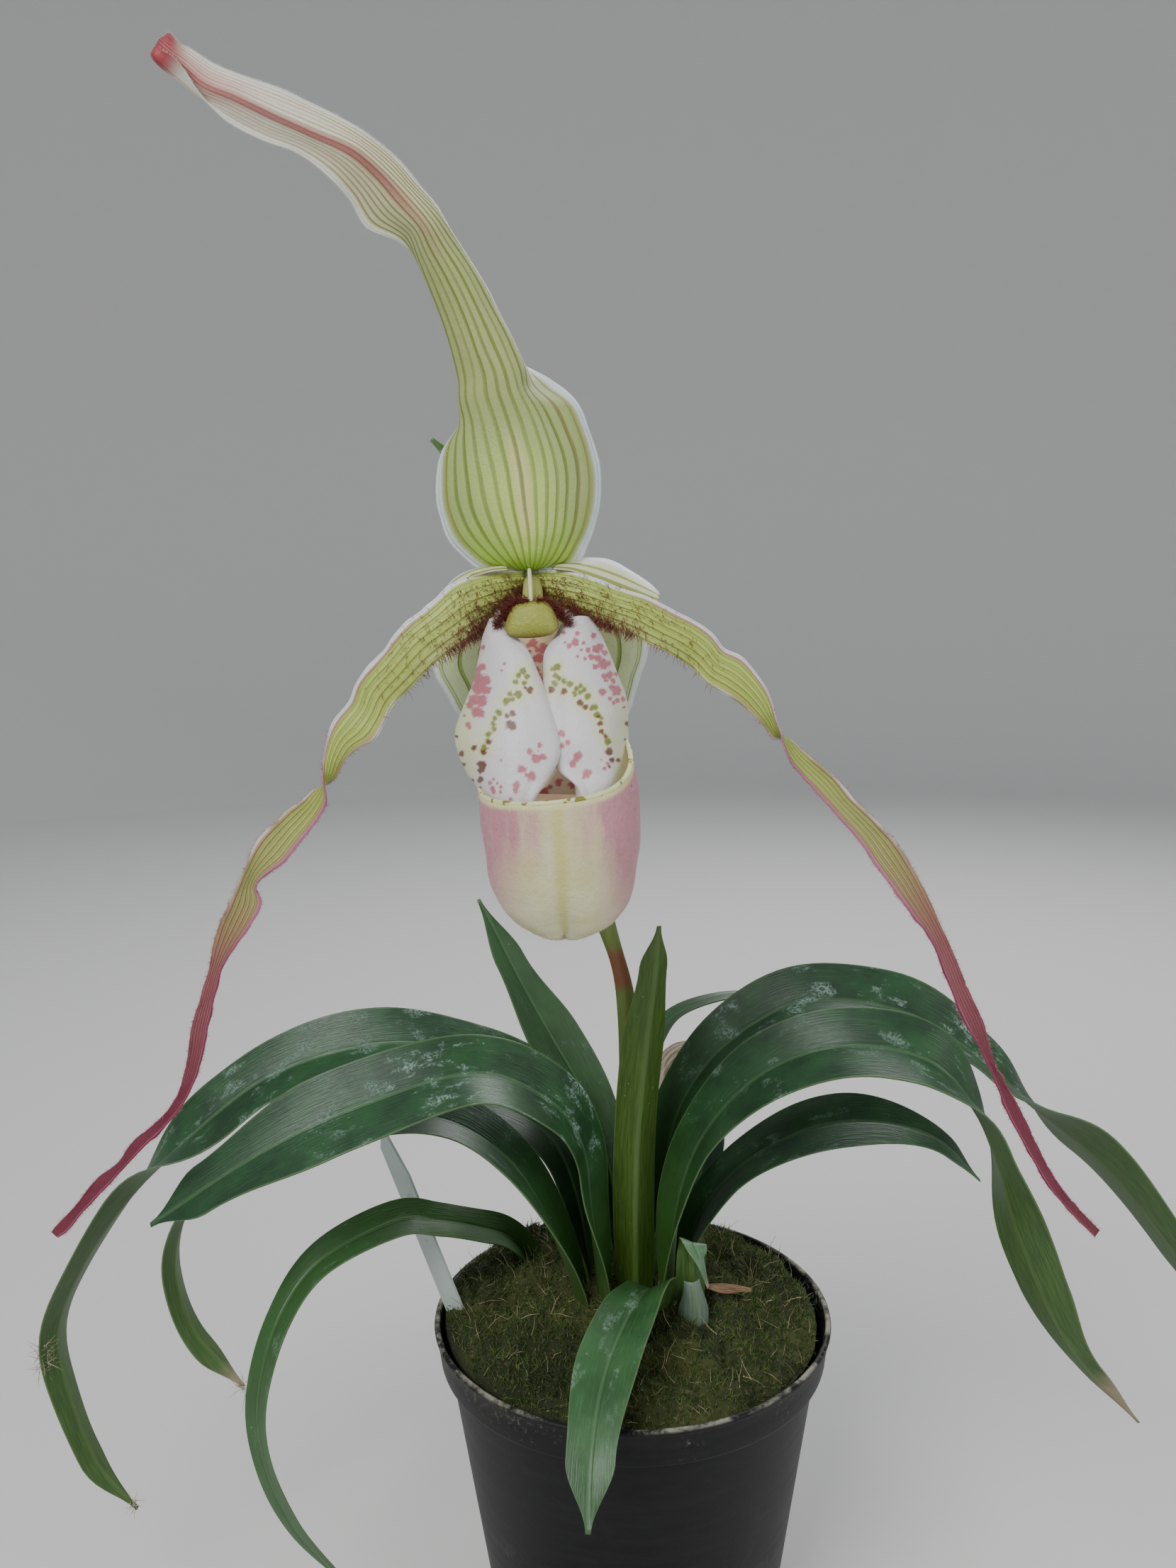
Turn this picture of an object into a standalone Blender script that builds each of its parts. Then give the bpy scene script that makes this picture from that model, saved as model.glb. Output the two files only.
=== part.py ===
"""A potted phragmipedium orchid in bloom: pot, moss, leaves, flower stem and one slipper flower.

Lengths below are in millimetres. The pot's axis is +Z through the origin and its base is on Z = 0.
The flower faces -Y. Every leaf, sepal and petal is a ribbon laid along a few waypoints.
"""

import math

import bmesh
import bpy
from mathutils import Vector, noise

for old in list(bpy.data.objects):
    bpy.data.objects.remove(old, do_unlink=True)

MM = 0.001

# Pot
RIM_OUTER = 52.5
RIM_BAND = 10.0
POT_HEIGHT = 95.0
BASE_RADIUS = 36.0
WALL = 1.4
FLOOR = 1.6
RING_STEPS = 48

# Soil and moss
MIX_TOP = 84.0
GAP = 0.3
CROWN_TOP = 87.2
CROWN_HOLE = (21.5, 19.8)
CROWN_CENTRE = (0.0, 1.0)

# Blades
LEAF_THICK = 1.0
PETAL_THICK = 0.9
SEPAL_THICK = 1.0

plant = bpy.data.objects.new("orchid", None)
bpy.context.scene.collection.objects.link(plant)


def material(name, colour, roughness):
    made = bpy.data.materials.new(name)
    made.use_nodes = True
    shader = made.node_tree.nodes["Principled BSDF"]
    shader.inputs["Base Color"].default_value = (*colour, 1.0)
    shader.inputs["Roughness"].default_value = roughness
    shader.inputs["Metallic"].default_value = 0.0
    return made


def place(name, shape, colour, roughness, origin=(0.0, 0.0, 0.0)):
    """Makes a node of a bmesh given in millimetres, with its origin at a point of the plant."""
    start = Vector(origin)
    for vertex in shape.verts:
        vertex.co = (vertex.co - start) * MM
    mesh = bpy.data.meshes.new(name)
    shape.to_mesh(mesh)
    shape.free()
    mesh.materials.append(material(name, colour, roughness))
    made = bpy.data.objects.new(name, mesh)
    made.location = start * MM
    made.parent = plant
    bpy.context.scene.collection.objects.link(made)
    return made


def blend(hints, share):
    """The value at this share of the length, between hints given as (share, value)."""
    for (low, first), (high, second) in zip(hints, hints[1:]):
        if share <= high:
            step = (share - low) / (high - low)
            step = min(max(step, 0.0), 1.0)
            step = step * step * (3.0 - 2.0 * step)
            if isinstance(first, tuple):
                return Vector(first).lerp(Vector(second), step)
            return first + (second - first) * step
    last = hints[-1][1]
    return Vector(last) if isinstance(last, tuple) else last


def smooth_path(waypoints, count):
    """Points evenly spaced along a Catmull-Rom curve through the waypoints."""
    points = [Vector(point) for point in waypoints]
    ends = [points[0] * 2 - points[1]] + points + [points[-1] * 2 - points[-2]]
    dense = []
    for index in range(1, len(ends) - 2):
        a, b, c, d = ends[index - 1 : index + 3]
        for step in range(24):
            t = step / 24
            dense.append(
                b + (c - a) * (t / 2)
                + (a * 2 - b * 5 + c * 4 - d) * (t * t / 2)
                + (b * 3 - a - c * 3 + d) * (t * t * t / 2)
            )
    dense.append(points[-1])
    lengths = [0.0]
    for first, second in zip(dense, dense[1:]):
        lengths.append(lengths[-1] + (second - first).length)
    found = []
    at = 0
    for step in range(count):
        wanted = lengths[-1] * step / (count - 1)
        while at < len(dense) - 2 and lengths[at + 1] < wanted:
            at += 1
        span = lengths[at + 1] - lengths[at]
        found.append(dense[at].lerp(dense[at + 1], (wanted - lengths[at]) / span))
    return found


def frames(points, face):
    """A tangent, a sideways and a facing direction at each point."""
    found = []
    last = len(points) - 1
    for index, point in enumerate(points):
        tangent = (points[min(index + 1, last)] - points[max(index - 1, 0)]).normalized()
        wanted = blend(face, index / last)
        facing = (wanted - tangent * wanted.dot(tangent)).normalized()
        found.append((point, tangent, tangent.cross(facing), facing))
    return found


def sheet(name, rows, thickness, colour, roughness):
    """A thin solid on a grid of points, split into the same triangles on both faces."""
    shape = bmesh.new()
    grid = [[shape.verts.new(point) for point in row] for row in rows]
    for lower, upper in zip(grid, grid[1:]):
        for index in range(len(lower) - 1):
            a, b, c, d = lower[index], lower[index + 1], upper[index + 1], upper[index]
            shape.faces.new((a, b, c))
            shape.faces.new((a, c, d))
    made = place(name, shape, colour, roughness, rows[0][len(rows[0]) // 2])
    solid = made.modifiers.new("Thickness", "SOLIDIFY")
    solid.thickness = thickness * MM
    solid.offset = 0.0
    return made


def ribbon_rows(path, face, width, fold, curl, wave, stations, across):
    """Rows of points of a blade: keeled by fold, cupped by curl, with a waved margin."""
    rows = []
    for index, (point, _, side, facing) in enumerate(frames(smooth_path(path, stations), face)):
        share = index / (stations - 1)
        half = blend(width, share) / 2
        keel = math.radians(blend(fold, share))
        cup = math.radians(blend(curl, share))
        height, turns, phase = wave
        fade = math.sin(math.pi * min(share * 1.1, 1.0)) if height else 0.0
        row = []
        for hand in (-1, 1):
            reach, rise = 0.0, 0.0
            arm = []
            steps = across // 2
            for step in range(1, steps + 1):
                angle = keel + cup * (step - 0.5) / steps
                reach += half / steps * math.cos(angle)
                rise += half / steps * math.sin(angle)
                swell = height * fade * (step / steps) ** 2
                swing = math.sin(2 * math.pi * turns * share + phase * hand)
                arm.append(point + side * reach * hand + facing * (rise + swell * swing))
            if hand < 0:
                row = arm[::-1] + [point]
            else:
                row += arm
        rows.append(row)
    return rows


def blade(name, path, face, width, colour, fold=((0, 34), (0.35, 17), (1, 8)), curl=((0, 0), (1, 0)),
          wave=(0.0, 0, 0), stations=18, across=4, thickness=LEAF_THICK, roughness=0.38):
    rows = ribbon_rows(path, face, width, fold, curl, wave, stations, across)
    return sheet(name, rows, thickness, colour, roughness)


def tube(name, path, radii, colour, roughness, sides=10, stations=20, squash=1.0):
    """A closed stem along waypoints, with its radius blended between hints."""
    shape = bmesh.new()
    rings = []
    for index, (point, _, side, facing) in enumerate(
        frames(smooth_path(path, stations), ((0, (0.0, -1.0, 0.02)), (1, (0.0, -1.0, 0.02))))
    ):
        radius = blend(radii, index / (stations - 1))
        ring = []
        for step in range(sides):
            angle = 2 * math.pi * step / sides
            offset = side * math.cos(angle) + facing * math.sin(angle) * squash
            ring.append(shape.verts.new(point + offset * radius))
        rings.append(ring)
    for lower, upper in zip(rings, rings[1:]):
        for index in range(sides):
            following = (index + 1) % sides
            shape.faces.new((lower[index], lower[following], upper[following], upper[index]))
    shape.faces.new(rings[0][::-1])
    shape.faces.new(rings[-1])
    bmesh.ops.recalc_face_normals(shape, faces=shape.faces)
    return place(name, shape, colour, roughness, path[0])


def turned(name, profile, colour, roughness):
    """A round piece: a profile of (radius, height) pairs turned about the pot's axis."""
    shape = bmesh.new()
    points = [shape.verts.new((radius, 0.0, height)) for radius, height in profile]
    for first, second in zip(points, points[1:]):
        shape.edges.new((first, second))
    made = place(name, shape, colour, roughness)
    screw = made.modifiers.new("Turn", "SCREW")
    screw.steps = RING_STEPS
    screw.render_steps = RING_STEPS
    screw.use_merge_vertices = True
    screw.merge_threshold = 0.00005
    screw.use_smooth_shade = True
    screw.use_normal_calculate = True
    return made


def cutter(name, shape):
    """A hidden solid that a Boolean takes away."""
    made = place(name, shape, (0.5, 0.5, 0.5), 0.5)
    made.hide_render = True
    made.display_type = "WIRE"
    return made


def oval_prism(centre, radii, low, high, sides=28):
    shape = bmesh.new()
    bmesh.ops.create_cone(
        shape, cap_ends=True, segments=sides, radius1=1.0, radius2=1.0, depth=1.0
    )
    for vertex in shape.verts:
        vertex.co.x = centre[0] + vertex.co.x * radii[0]
        vertex.co.y = centre[1] + vertex.co.y * radii[1]
        vertex.co.z = low if vertex.co.z < 0 else high
    return shape


def cut(target, tool):
    made = target.modifiers.new(tool.name, "BOOLEAN")
    made.operation = "DIFFERENCE"
    made.solver = "EXACT"
    made.object = tool


# Pot: thin black plastic with a stepped rim band, a turned-in lip and drain holes
inner_rim = RIM_OUTER - 1.6
pot = turned(
    "pot",
    [
        (0.0, 0.0),
        (BASE_RADIUS - 1.5, 0.0),
        (BASE_RADIUS, 1.5),
        (48.6, POT_HEIGHT - RIM_BAND - 1.2),
        (50.9, POT_HEIGHT - RIM_BAND),
        (51.9, POT_HEIGHT - 1.6),
        (RIM_OUTER, POT_HEIGHT - 1.1),
        (RIM_OUTER - 0.5, POT_HEIGHT),
        (RIM_OUTER - 1.5, POT_HEIGHT),
        (inner_rim, POT_HEIGHT - 0.8),
        (49.3, POT_HEIGHT - RIM_BAND + 0.6),
        (47.2, POT_HEIGHT - RIM_BAND - 1.0),
        (BASE_RADIUS - WALL, FLOOR + 1.0),
        (BASE_RADIUS - WALL - 1.2, FLOOR),
        (0.0, FLOOR),
    ],
    (0.012, 0.012, 0.013),
    0.42,
)
drains = bmesh.new()
for step in range(6):
    angle = math.radians(30 + 60 * step)
    hole = bmesh.ops.create_cone(
        drains, cap_ends=True, segments=14, radius1=4.0, radius2=4.0, depth=6.0
    )
    for vertex in hole["verts"]:
        vertex.co += Vector((26.0 * math.cos(angle), 26.0 * math.sin(angle), 0.8))
cut(pot, cutter("drain_holes", drains))


# Potting mix: fills the pot up to the moss, with a pocket for the crown
mix = turned(
    "potting_mix",
    [
        (0.0, FLOOR + GAP),
        (BASE_RADIUS - WALL - 1.8, FLOOR + GAP),
        (BASE_RADIUS - WALL - GAP, FLOOR + 1.5),
        (46.6, MIX_TOP - 2.0),
        (46.0, MIX_TOP),
        (0.0, MIX_TOP),
    ],
    (0.045, 0.028, 0.016),
    0.95,
)
cut(mix, cutter("crown_pocket", oval_prism(CROWN_CENTRE, (20.0, 16.5), 72.0, 90.0)))


# Crown: the short rhizome that the leaves and the stem grow from
crown_shape = oval_prism(CROWN_CENTRE, (19.6, 16.1), 72.3, CROWN_TOP)
crown = place("crown", crown_shape, (0.16, 0.13, 0.05), 0.8)
rounding = crown.modifiers.new("Soft edge", "BEVEL")
rounding.width = 1.2 * MM
rounding.segments = 2
rounding.limit_method = "ANGLE"


# Moss cushion: a low uneven mound that fills the rim
def moss_top(x, y):
    """Height of the moss over a point inside the rim."""
    radius = math.hypot(x, y)
    dome = 102.2 - 0.0026 * radius * radius
    dome += 0.045 * y - 0.03 * x
    lumps = noise.noise(Vector((x, y, 3.0)) / 9.0) * 2.6 + noise.noise(Vector((x, y, 8.0)) / 4.0) * 1.2
    edge = min(max((radius - 44.0) / 7.0, 0.0), 1.0)
    return dome + lumps * (1 - 0.5 * edge) - 2.2 * edge * edge


def moss_edge(angle):
    """Radius of the mound's edge: it draws back from the rim at the right and the back."""
    back = max(0.0, math.cos(angle - math.radians(35)))
    return 49.7 - 2.6 * back**4 - 0.5 * abs(math.sin(3.0 * angle))


moss_shape = bmesh.new()
MOSS_AROUND, MOSS_RINGS = 44, 10
centre = moss_shape.verts.new((0.0, 0.0, moss_top(0.0, 0.0)))
rings = []
for ring in range(1, MOSS_RINGS + 1):
    row = []
    for step in range(MOSS_AROUND):
        angle = 2 * math.pi * step / MOSS_AROUND
        radius = moss_edge(angle) * ring / MOSS_RINGS
        x, y = radius * math.cos(angle), radius * math.sin(angle)
        row.append(moss_shape.verts.new((x, y, moss_top(x, y))))
    rings.append(row)
for radius, height in ((1.0, 93.0), (0.965, MIX_TOP + 2.6), (0.9, MIX_TOP + GAP)):
    row = []
    for step in range(MOSS_AROUND):
        angle = 2 * math.pi * step / MOSS_AROUND
        reach = moss_edge(angle) * radius
        row.append(moss_shape.verts.new((reach * math.cos(angle), reach * math.sin(angle), height)))
    rings.append(row)
for index in range(MOSS_AROUND):
    following = (index + 1) % MOSS_AROUND
    moss_shape.faces.new((centre, rings[0][index], rings[0][following]))
    for inner, outer in zip(rings, rings[1:]):
        moss_shape.faces.new((inner[index], outer[index], outer[following]))
        moss_shape.faces.new((inner[index], outer[following], inner[following]))
moss_shape.faces.new(rings[-1][::-1])
bmesh.ops.recalc_face_normals(moss_shape, faces=moss_shape.faces)
moss = place("moss_cushion", moss_shape, (0.075, 0.085, 0.022), 0.95)
cut(moss, cutter("crown_hole", oval_prism(CROWN_CENTRE, CROWN_HOLE, 70.0, 120.0)))
cut(moss, cutter("low_leaf_hole", oval_prism((-29.5, 16.5), (8.5, 8.5), 86.0, 120.0, 16)))
cut(moss, cutter("shoot_hole", oval_prism((15.5, -14.5), (7.0, 6.0), 86.0, 120.0, 16)))
label_hole = oval_prism((-45.2, -4.2), (6.0, 3.8), 86.0, 120.0, 16)
cut(moss, cutter("label_slot", label_hole))


# Leaves on the left, from the inmost outwards
UPPER_GREEN = (0.022, 0.085, 0.030)
FRESH_GREEN = (0.085, 0.17, 0.022)

blade(
    "leaf_left_upright",
    [(-4.4, 4.6, 88), (-4.2, 5.4, 106), (-5.2, 8, 128), (-11, 11, 148), (-21, 14, 166), (-30, 18, 182), (-40, 22, 202)],
    ((0, (1, -0.2, 0)), (0.4, (0.6, -0.8, 0.2)), (1, (0.7, -0.7, 0.3))),
    ((0, 9), (0.35, 14), (0.65, 17), (0.85, 10), (1, 1.6)),
    UPPER_GREEN,
)
blade(
    "leaf_left_far",
    [(-5, 14, 88), (-6, 15.5, 106), (-10, 18.5, 130), (-22, 22, 146), (-40, 24, 156), (-67, 25, 160), (-99, 23, 152),
     (-124, 18, 134), (-138, 13, 121), (-150, 8, 104), (-156, 4, 88), (-153, 1, 71), (-146, 0, 51), (-136, 0, 38)],
    ((0, (1, -0.1, 0)), (0.3, (0.4, -0.5, 1)), (0.55, (-0.3, -0.7, 0.9)), (0.68, (-0.8, 0.35, 0.4)), (1, (-0.9, 0.5, 0))),
    ((0, 9), (0.2, 17), (0.4, 23), (0.62, 22), (0.8, 19), (0.93, 12), (1, 1.6)),
    UPPER_GREEN,
    wave=(0.8, 5, 0.6),
    stations=24,
)
blade(
    "leaf_left_middle",
    [(-11, 3, 88), (-12, 3, 106), (-15, 3, 126), (-21, 3, 141), (-32, 4, 149), (-46, 6, 151), (-57, 8, 149), (-66, 10, 146)],
    ((0, (1, -0.2, 0)), (0.45, (0.5, -0.6, 1)), (1, (-0.2, -0.5, 1))),
    ((0, 8), (0.3, 13), (0.6, 18), (0.85, 14), (1, 1.6)),
    (0.018, 0.062, 0.020),
)
blade(
    "leaf_left_front",
    [(-8.8, -6, 88), (-8.8, -8, 106), (-10.9, -10.5, 128), (-13, -14, 147), (-21, -20, 161), (-38, -28, 171), (-64, -35, 166),
     (-86, -39, 157), (-112, -41, 141)],
    ((0, (1, 0.1, 0)), (0.3, (0.8, -0.5, 0.7)), (0.55, (0, -0.7, 1)), (1, (-0.3, -0.75, 0.8))),
    ((0, 10), (0.25, 16), (0.5, 21), (0.75, 23), (0.92, 13), (1, 1.6)),
    UPPER_GREEN,
    wave=(0.6, 3, 1.2),
    stations=20,
)
blade(
    "leaf_left_lower",
    [(-14, -6, 88), (-15, -8, 104), (-21, -12, 124), (-31, -15, 143), (-46, -13, 153), (-66, -10, 153), (-92, -8, 145),
     (-110, -8, 134), (-117, -9, 122), (-118, -10, 110), (-113, -12, 96), (-101, -13, 82)],
    ((0, (1, 0.1, 0)), (0.3, (0.8, -0.35, 0.8)), (0.6, (-0.3, -0.5, 1)), (0.8, (-1, 0.1, 0.2)), (1, (-0.7, 0.3, -0.7))),
    ((0, 10), (0.25, 17), (0.55, 19), (0.8, 11), (0.93, 8), (1, 1.6)),
    UPPER_GREEN,
    stations=22,
)
blade(
    "leaf_low",
    [(-26, 19, 88), (-29, 17, 101), (-34, 9, 111), (-41, 0, 118), (-50, -8, 124), (-60, -14, 127), (-77, -24, 122),
     (-86, -32, 111), (-90, -38, 95), (-88, -42, 81), (-81, -46, 68), (-71, -48, 57), (-64, -49, 49)],
    ((0, (0.9, -0.6, 0)), (0.3, (0.2, -0.5, 1)), (0.6, (-0.7, -0.6, 0.4)), (1, (-0.7, -0.7, 0))),
    ((0, 8), (0.25, 11), (0.5, 11), (0.8, 8), (1, 1.4)),
    (0.05, 0.14, 0.028),
    fold=((0, 40), (0.3, 14), (1, 8)),
    wave=(0.6, 3, 0.4),
    stations=20,
)

# Leaves on the right
blade(
    "leaf_right_thin",
    [(2.5, 14, 88), (2.5, 15, 106), (3.5, 16.5, 136), (7, 17, 158), (14, 23, 168), (31, 27, 172), (44, 28, 168)],
    ((0, (-1, -0.3, 0)), (0.6, (-0.6, -0.1, 1)), (1, (0.2, 0.0, 1))),
    ((0, 8), (0.4, 9), (0.7, 9), (0.9, 6), (1, 1.4)),
    UPPER_GREEN,
)
blade(
    "leaf_right_top",
    [(7, 5, 88), (7, 5.5, 108), (10, 7, 130), (15, 8, 149), (27, 8, 165), (46, 7, 176), (68, 5, 175), (86, 2, 166),
     (104, -2, 151), (124, -5, 134), (144, -8, 108), (153, -10, 90)],
    ((0, (-1, -0.1, 0)), (0.25, (-0.9, -0.6, 0.5)), (0.5, (0.1, -0.7, 1)), (0.62, (0.5, -0.3, 0.9)), (0.76, (0.9, 0.5, 0.4)),
     (1, (0.9, 0.4, 0.2))),
    ((0, 9), (0.25, 17), (0.45, 22), (0.7, 22), (0.9, 15), (1, 1.8)),
    UPPER_GREEN,
    wave=(0.7, 4, 0.3),
    stations=24,
)
blade(
    "leaf_right_broad",
    [(10.5, -6, 88), (10.5, -6.5, 106), (12.5, -8.5, 128), (19, -11.5, 148), (33, -15, 165), (51, -19, 173), (70, -22, 171),
     (82, -24, 160), (88, -27, 146), (94, -29, 126), (105, -31, 102), (122, -33, 82)],
    ((0, (-1, 0.1, 0)), (0.25, (-1, -0.5, 0.4)), (0.5, (0.1, -0.8, 1)), (0.66, (0.8, 0.1, 0.5)), (0.8, (0.6, 0.8, 0.1)),
     (1, (0.6, 0.7, 0.5))),
    ((0, 10), (0.25, 17), (0.5, 21), (0.75, 22), (0.92, 12), (1, 1.6)),
    UPPER_GREEN,
    wave=(0.6, 4, 1.0),
    stations=24,
)
blade(
    "leaf_right_lower",
    [(15, 3, 88), (15, 4, 104), (20, 7, 118), (31, 9, 130), (48, 8, 140), (65, 6, 143), (81, 4, 139), (93, 2, 128)],
    ((0, (-1, -0.1, 0)), (0.35, (-0.7, -0.6, 1)), (0.7, (0.2, -0.7, 1)), (1, (0.9, -0.3, 0.5))),
    ((0, 9), (0.3, 13), (0.65, 17), (0.9, 9), (1, 1.6)),
    UPPER_GREEN,
)
blade(
    "leaf_back_short",
    [(10, 13, 88), (13, 14, 104), (19, 17, 118), (23, 21, 132), (23, 25, 146)],
    ((0, (-0.8, -0.7, 0)), (0.5, (-0.5, -0.8, 0.2)), (1, (-0.2, -1, 0.3))),
    ((0, 8), (0.4, 12), (0.75, 9), (1, 1.4)),
    (0.10, 0.17, 0.12),
    stations=12,
)
blade(
    "leaf_front",
    [(3.5, -13.5, 88), (4.5, -14.5, 102), (5, -17, 109), (2, -25, 112), (-3, -36, 111), (-8, -50, 107), (-11, -63, 99), (-12, -74, 87)],
    ((0, (0.1, 1, 0)), (0.25, (0.1, 0.9, 0.5)), (0.5, (0.1, -0.1, 1)), (1, (0, -0.6, 1))),
    ((0, 9), (0.3, 14), (0.6, 15), (0.85, 11), (1, 1.6)),
    (0.05, 0.13, 0.055),
    fold=((0, 40), (0.3, 20), (1, 8)),
    stations=20,
)
blade(
    "leaf_back_dead",
    [(9, 22, 108), (10, 28, 124), (11, 34, 142), (14, 37, 150), (22, 38, 153)],
    ((0, (0.1, -1, 0)), (0.6, (-0.3, -1, 0.5)), (1, (-0.5, -0.6, 1))),
    ((0, 5), (0.6, 8), (0.9, 8), (1, 6)),
    (0.42, 0.36, 0.26),
    stations=10,
)

# Young shoot in front of the crown: a folded leaf and the sheath round its foot
blade(
    "shoot_leaf",
    [(15, -12, 88), (15, -12.5, 104), (15, -14, 116), (15, -16, 121), (16, -19.5, 119), (18.5, -21, 112)],
    ((0, (-0.1, 1, 0)), (0.5, (-0.2, 1, 0.4)), (0.75, (0.3, 0.2, 1)), (1, (0.9, -0.4, 0.6))),
    ((0, 6), (0.5, 8), (0.8, 7), (1, 1.4)),
    (0.10, 0.19, 0.10),
    stations=14,
)
blade(
    "shoot_sheath",
    [(15.5, -16.5, 90), (15.5, -16.8, 104), (15, -16.6, 111)],
    ((0, (-0.1, 1, 0)), (1, (-0.1, 1, 0))),
    ((0, 9), (0.5, 10), (1, 5)),
    (0.17, 0.22, 0.17),
    fold=((0, 10), (1, 14)),
    curl=((0, 50), (1, 45)),
    stations=8,
    across=6,
)

# Flower stem with its keeled bract, the ovary and the bract behind the flower
stem_path = [(1, 0.6, 88), (1, 0.6, 120), (0, -2, 155), (-1, -8, 184), (-6, -13, 205), (-12, -18, 228), (-18, -21, 252),
             (-24, -22, 272), (-25, -22, 286)]
tube("flower_stem", stem_path, ((0, 2.6), (0.5, 2.3), (1, 2.1)), (0.13, 0.16, 0.045), 0.5, stations=24)
tube(
    "ovary",
    [(-25.0, -22.4, 287.0), (-25.4, -25, 296), (-24.4, -31, 301.5), (-22.6, -38, 299), (-21.4, -43, 292.6),
     (-20.3, -46.7, 288.6), (-20.1, -48.4, 287.2)],
    ((0, 2.2), (0.35, 3.0), (0.6, 2.9), (0.8, 2.2), (1, 1.6)),
    (0.17, 0.19, 0.07),
    0.55,
    stations=14,
)
blade(
    "stem_bract",
    [(1, -6, 88), (1, -6, 106), (1, -8, 128), (2, -10, 150), (4, -14, 172), (6, -19, 192), (7, -22, 205)],
    ((0, (0, 1, 0)), (1, (-0.35, 1, 0.2))),
    ((0, 10), (0.25, 13), (0.7, 13), (0.9, 8), (1, 1.6)),
    FRESH_GREEN,
    fold=((0, 36), (0.5, 34), (1, 24)),
    stations=16,
)
blade(
    "floral_bract",
    [(-22, -17.2, 276), (-24, -17.4, 288), (-27.5, -18.5, 299), (-35, -23, 310), (-43, -28, 318)],
    ((0, (0, -1, 0)), (0.6, (0, -1, 0)), (1, (0.3, -1, 0.3))),
    ((0, 9), (0.3, 13), (0.7, 9), (1, 1.4)),
    (0.09, 0.16, 0.03),
    fold=((0, 30), (1, 20)),
    stations=12,
)


# Dorsal sepal: a cupped bulb above the column that runs out into a long waved tail
blade(
    "dorsal_sepal",
    [(-20.2, -48.4, 290), (-21, -54, 298), (-22, -57.5, 309), (-23.2, -58, 318), (-25.5, -57, 326), (-28.5, -57, 333),
     (-31, -57, 340), (-37, -58, 348), (-42.5, -60, 357), (-51, -63, 363.5), (-59, -66, 367.5), (-67, -69, 370.5),
     (-78, -75, 375), (-83, -78, 378)],
    ((0, (0, -1, 0.3)), (0.3, (0.1, -1, 0)), (1, (0.1, -1, 0.2))),
    ((0, 13), (0.05, 28), (0.12, 40), (0.2, 42), (0.28, 33), (0.345, 22), (0.4, 15.5), (0.5, 12.5), (0.57, 11.5),
     (0.65, 14.5), (0.74, 12.5), (0.85, 10.5), (0.93, 8), (1, 5)),
    (0.46, 0.52, 0.20),
    fold=((0, 0), (1, 0)),
    curl=((0, -20), (0.1, -60), (0.25, -62), (0.36, -66), (0.5, -40), (0.7, -16), (1, -8)),
    wave=(0.9, 5, 0.5),
    stations=30,
    across=8,
    thickness=SEPAL_THICK,
    roughness=0.55,
)

# Synsepal: the broad pale sepal behind the pouch
blade(
    "synsepal",
    [(-20, -46, 284), (-20.2, -43.6, 276), (-19.6, -42.6, 266), (-18.4, -43.2, 255), (-17, -45.6, 244)],
    ((0, (0, -1, 0)), (1, (0, -1, 0.1))),
    ((0, 13), (0.2, 32), (0.45, 43), (0.7, 37), (0.9, 20), (1, 7)),
    (0.40, 0.47, 0.27),
    fold=((0, 0), (1, 0)),
    curl=((0, -10), (0.5, -28), (1, -12)),
    wave=(1.0, 3, 0.8),
    stations=16,
    across=8,
    thickness=SEPAL_THICK,
    roughness=0.55,
)

# Petals: long hanging ribbons that make a half turn and taper to a twisted tip
PETAL_GREEN = (0.44, 0.47, 0.11)
blade(
    "petal_left",
    [(-23.6, -52.6, 285), (-31, -56, 283.5), (-39, -58, 277), (-47, -59, 270), (-55, -58.5, 262), (-61, -58, 253),
     (-64.5, -58, 245), (-70, -57, 239), (-76, -56, 233), (-82, -54, 223), (-88, -52, 212), (-94, -50, 194),
     (-100, -48, 177), (-107, -48, 167), (-119, -48, 156), (-131, -48, 142)],
    ((0, (0, -1, 0.5)), (0.26, (0, -1, 0.25)), (0.325, (-0.8, -0.3, 0.6)), (0.39, (-0.1, 1, 0.1)), (0.6, (0.1, 1, 0)),
     (0.75, (0.8, 0.5, 0)), (1, (0.7, -0.7, 0))),
    ((0, 9), (0.08, 11), (0.2, 10.5), (0.3, 7.5), (0.4, 9), (0.55, 7.5), (0.7, 5.6), (0.85, 4.2), (1, 2.6)),
    PETAL_GREEN,
    fold=((0, 0), (1, 0)),
    curl=((0, -30), (0.3, -20), (1, -10)),
    wave=(0.9, 9, 0.9),
    stations=44,
    across=4,
    thickness=PETAL_THICK,
    roughness=0.5,
)
blade(
    "petal_right",
    [(-16.8, -52.6, 285), (-9, -56, 284), (-1, -58, 280), (8, -58.5, 274), (18, -58, 265), (25, -57.5, 258.5),
     (31, -57, 254), (41, -56, 242), (54, -54, 230), (63, -52, 214), (71, -50, 197), (80, -48, 176), (89, -46, 157),
     (106, -44, 137)],
    ((0, (0, -1, 0.5)), (0.23, (0, -1, 0.25)), (0.29, (0.8, -0.3, 0.6)), (0.35, (0.1, 1, 0.1)), (0.6, (-0.1, 1, 0)),
     (0.75, (-0.8, 0.5, 0)), (1, (-0.7, -0.7, 0))),
    ((0, 9), (0.08, 11), (0.2, 10.5), (0.3, 7.5), (0.4, 9), (0.55, 7.5), (0.7, 5.6), (0.85, 4.2), (1, 2.6)),
    PETAL_GREEN,
    fold=((0, 0), (1, 0)),
    curl=((0, -30), (0.3, -20), (1, -10)),
    wave=(0.9, 9, 0.2),
    stations=44,
    across=4,
    thickness=PETAL_THICK,
    roughness=0.5,
)

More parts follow.
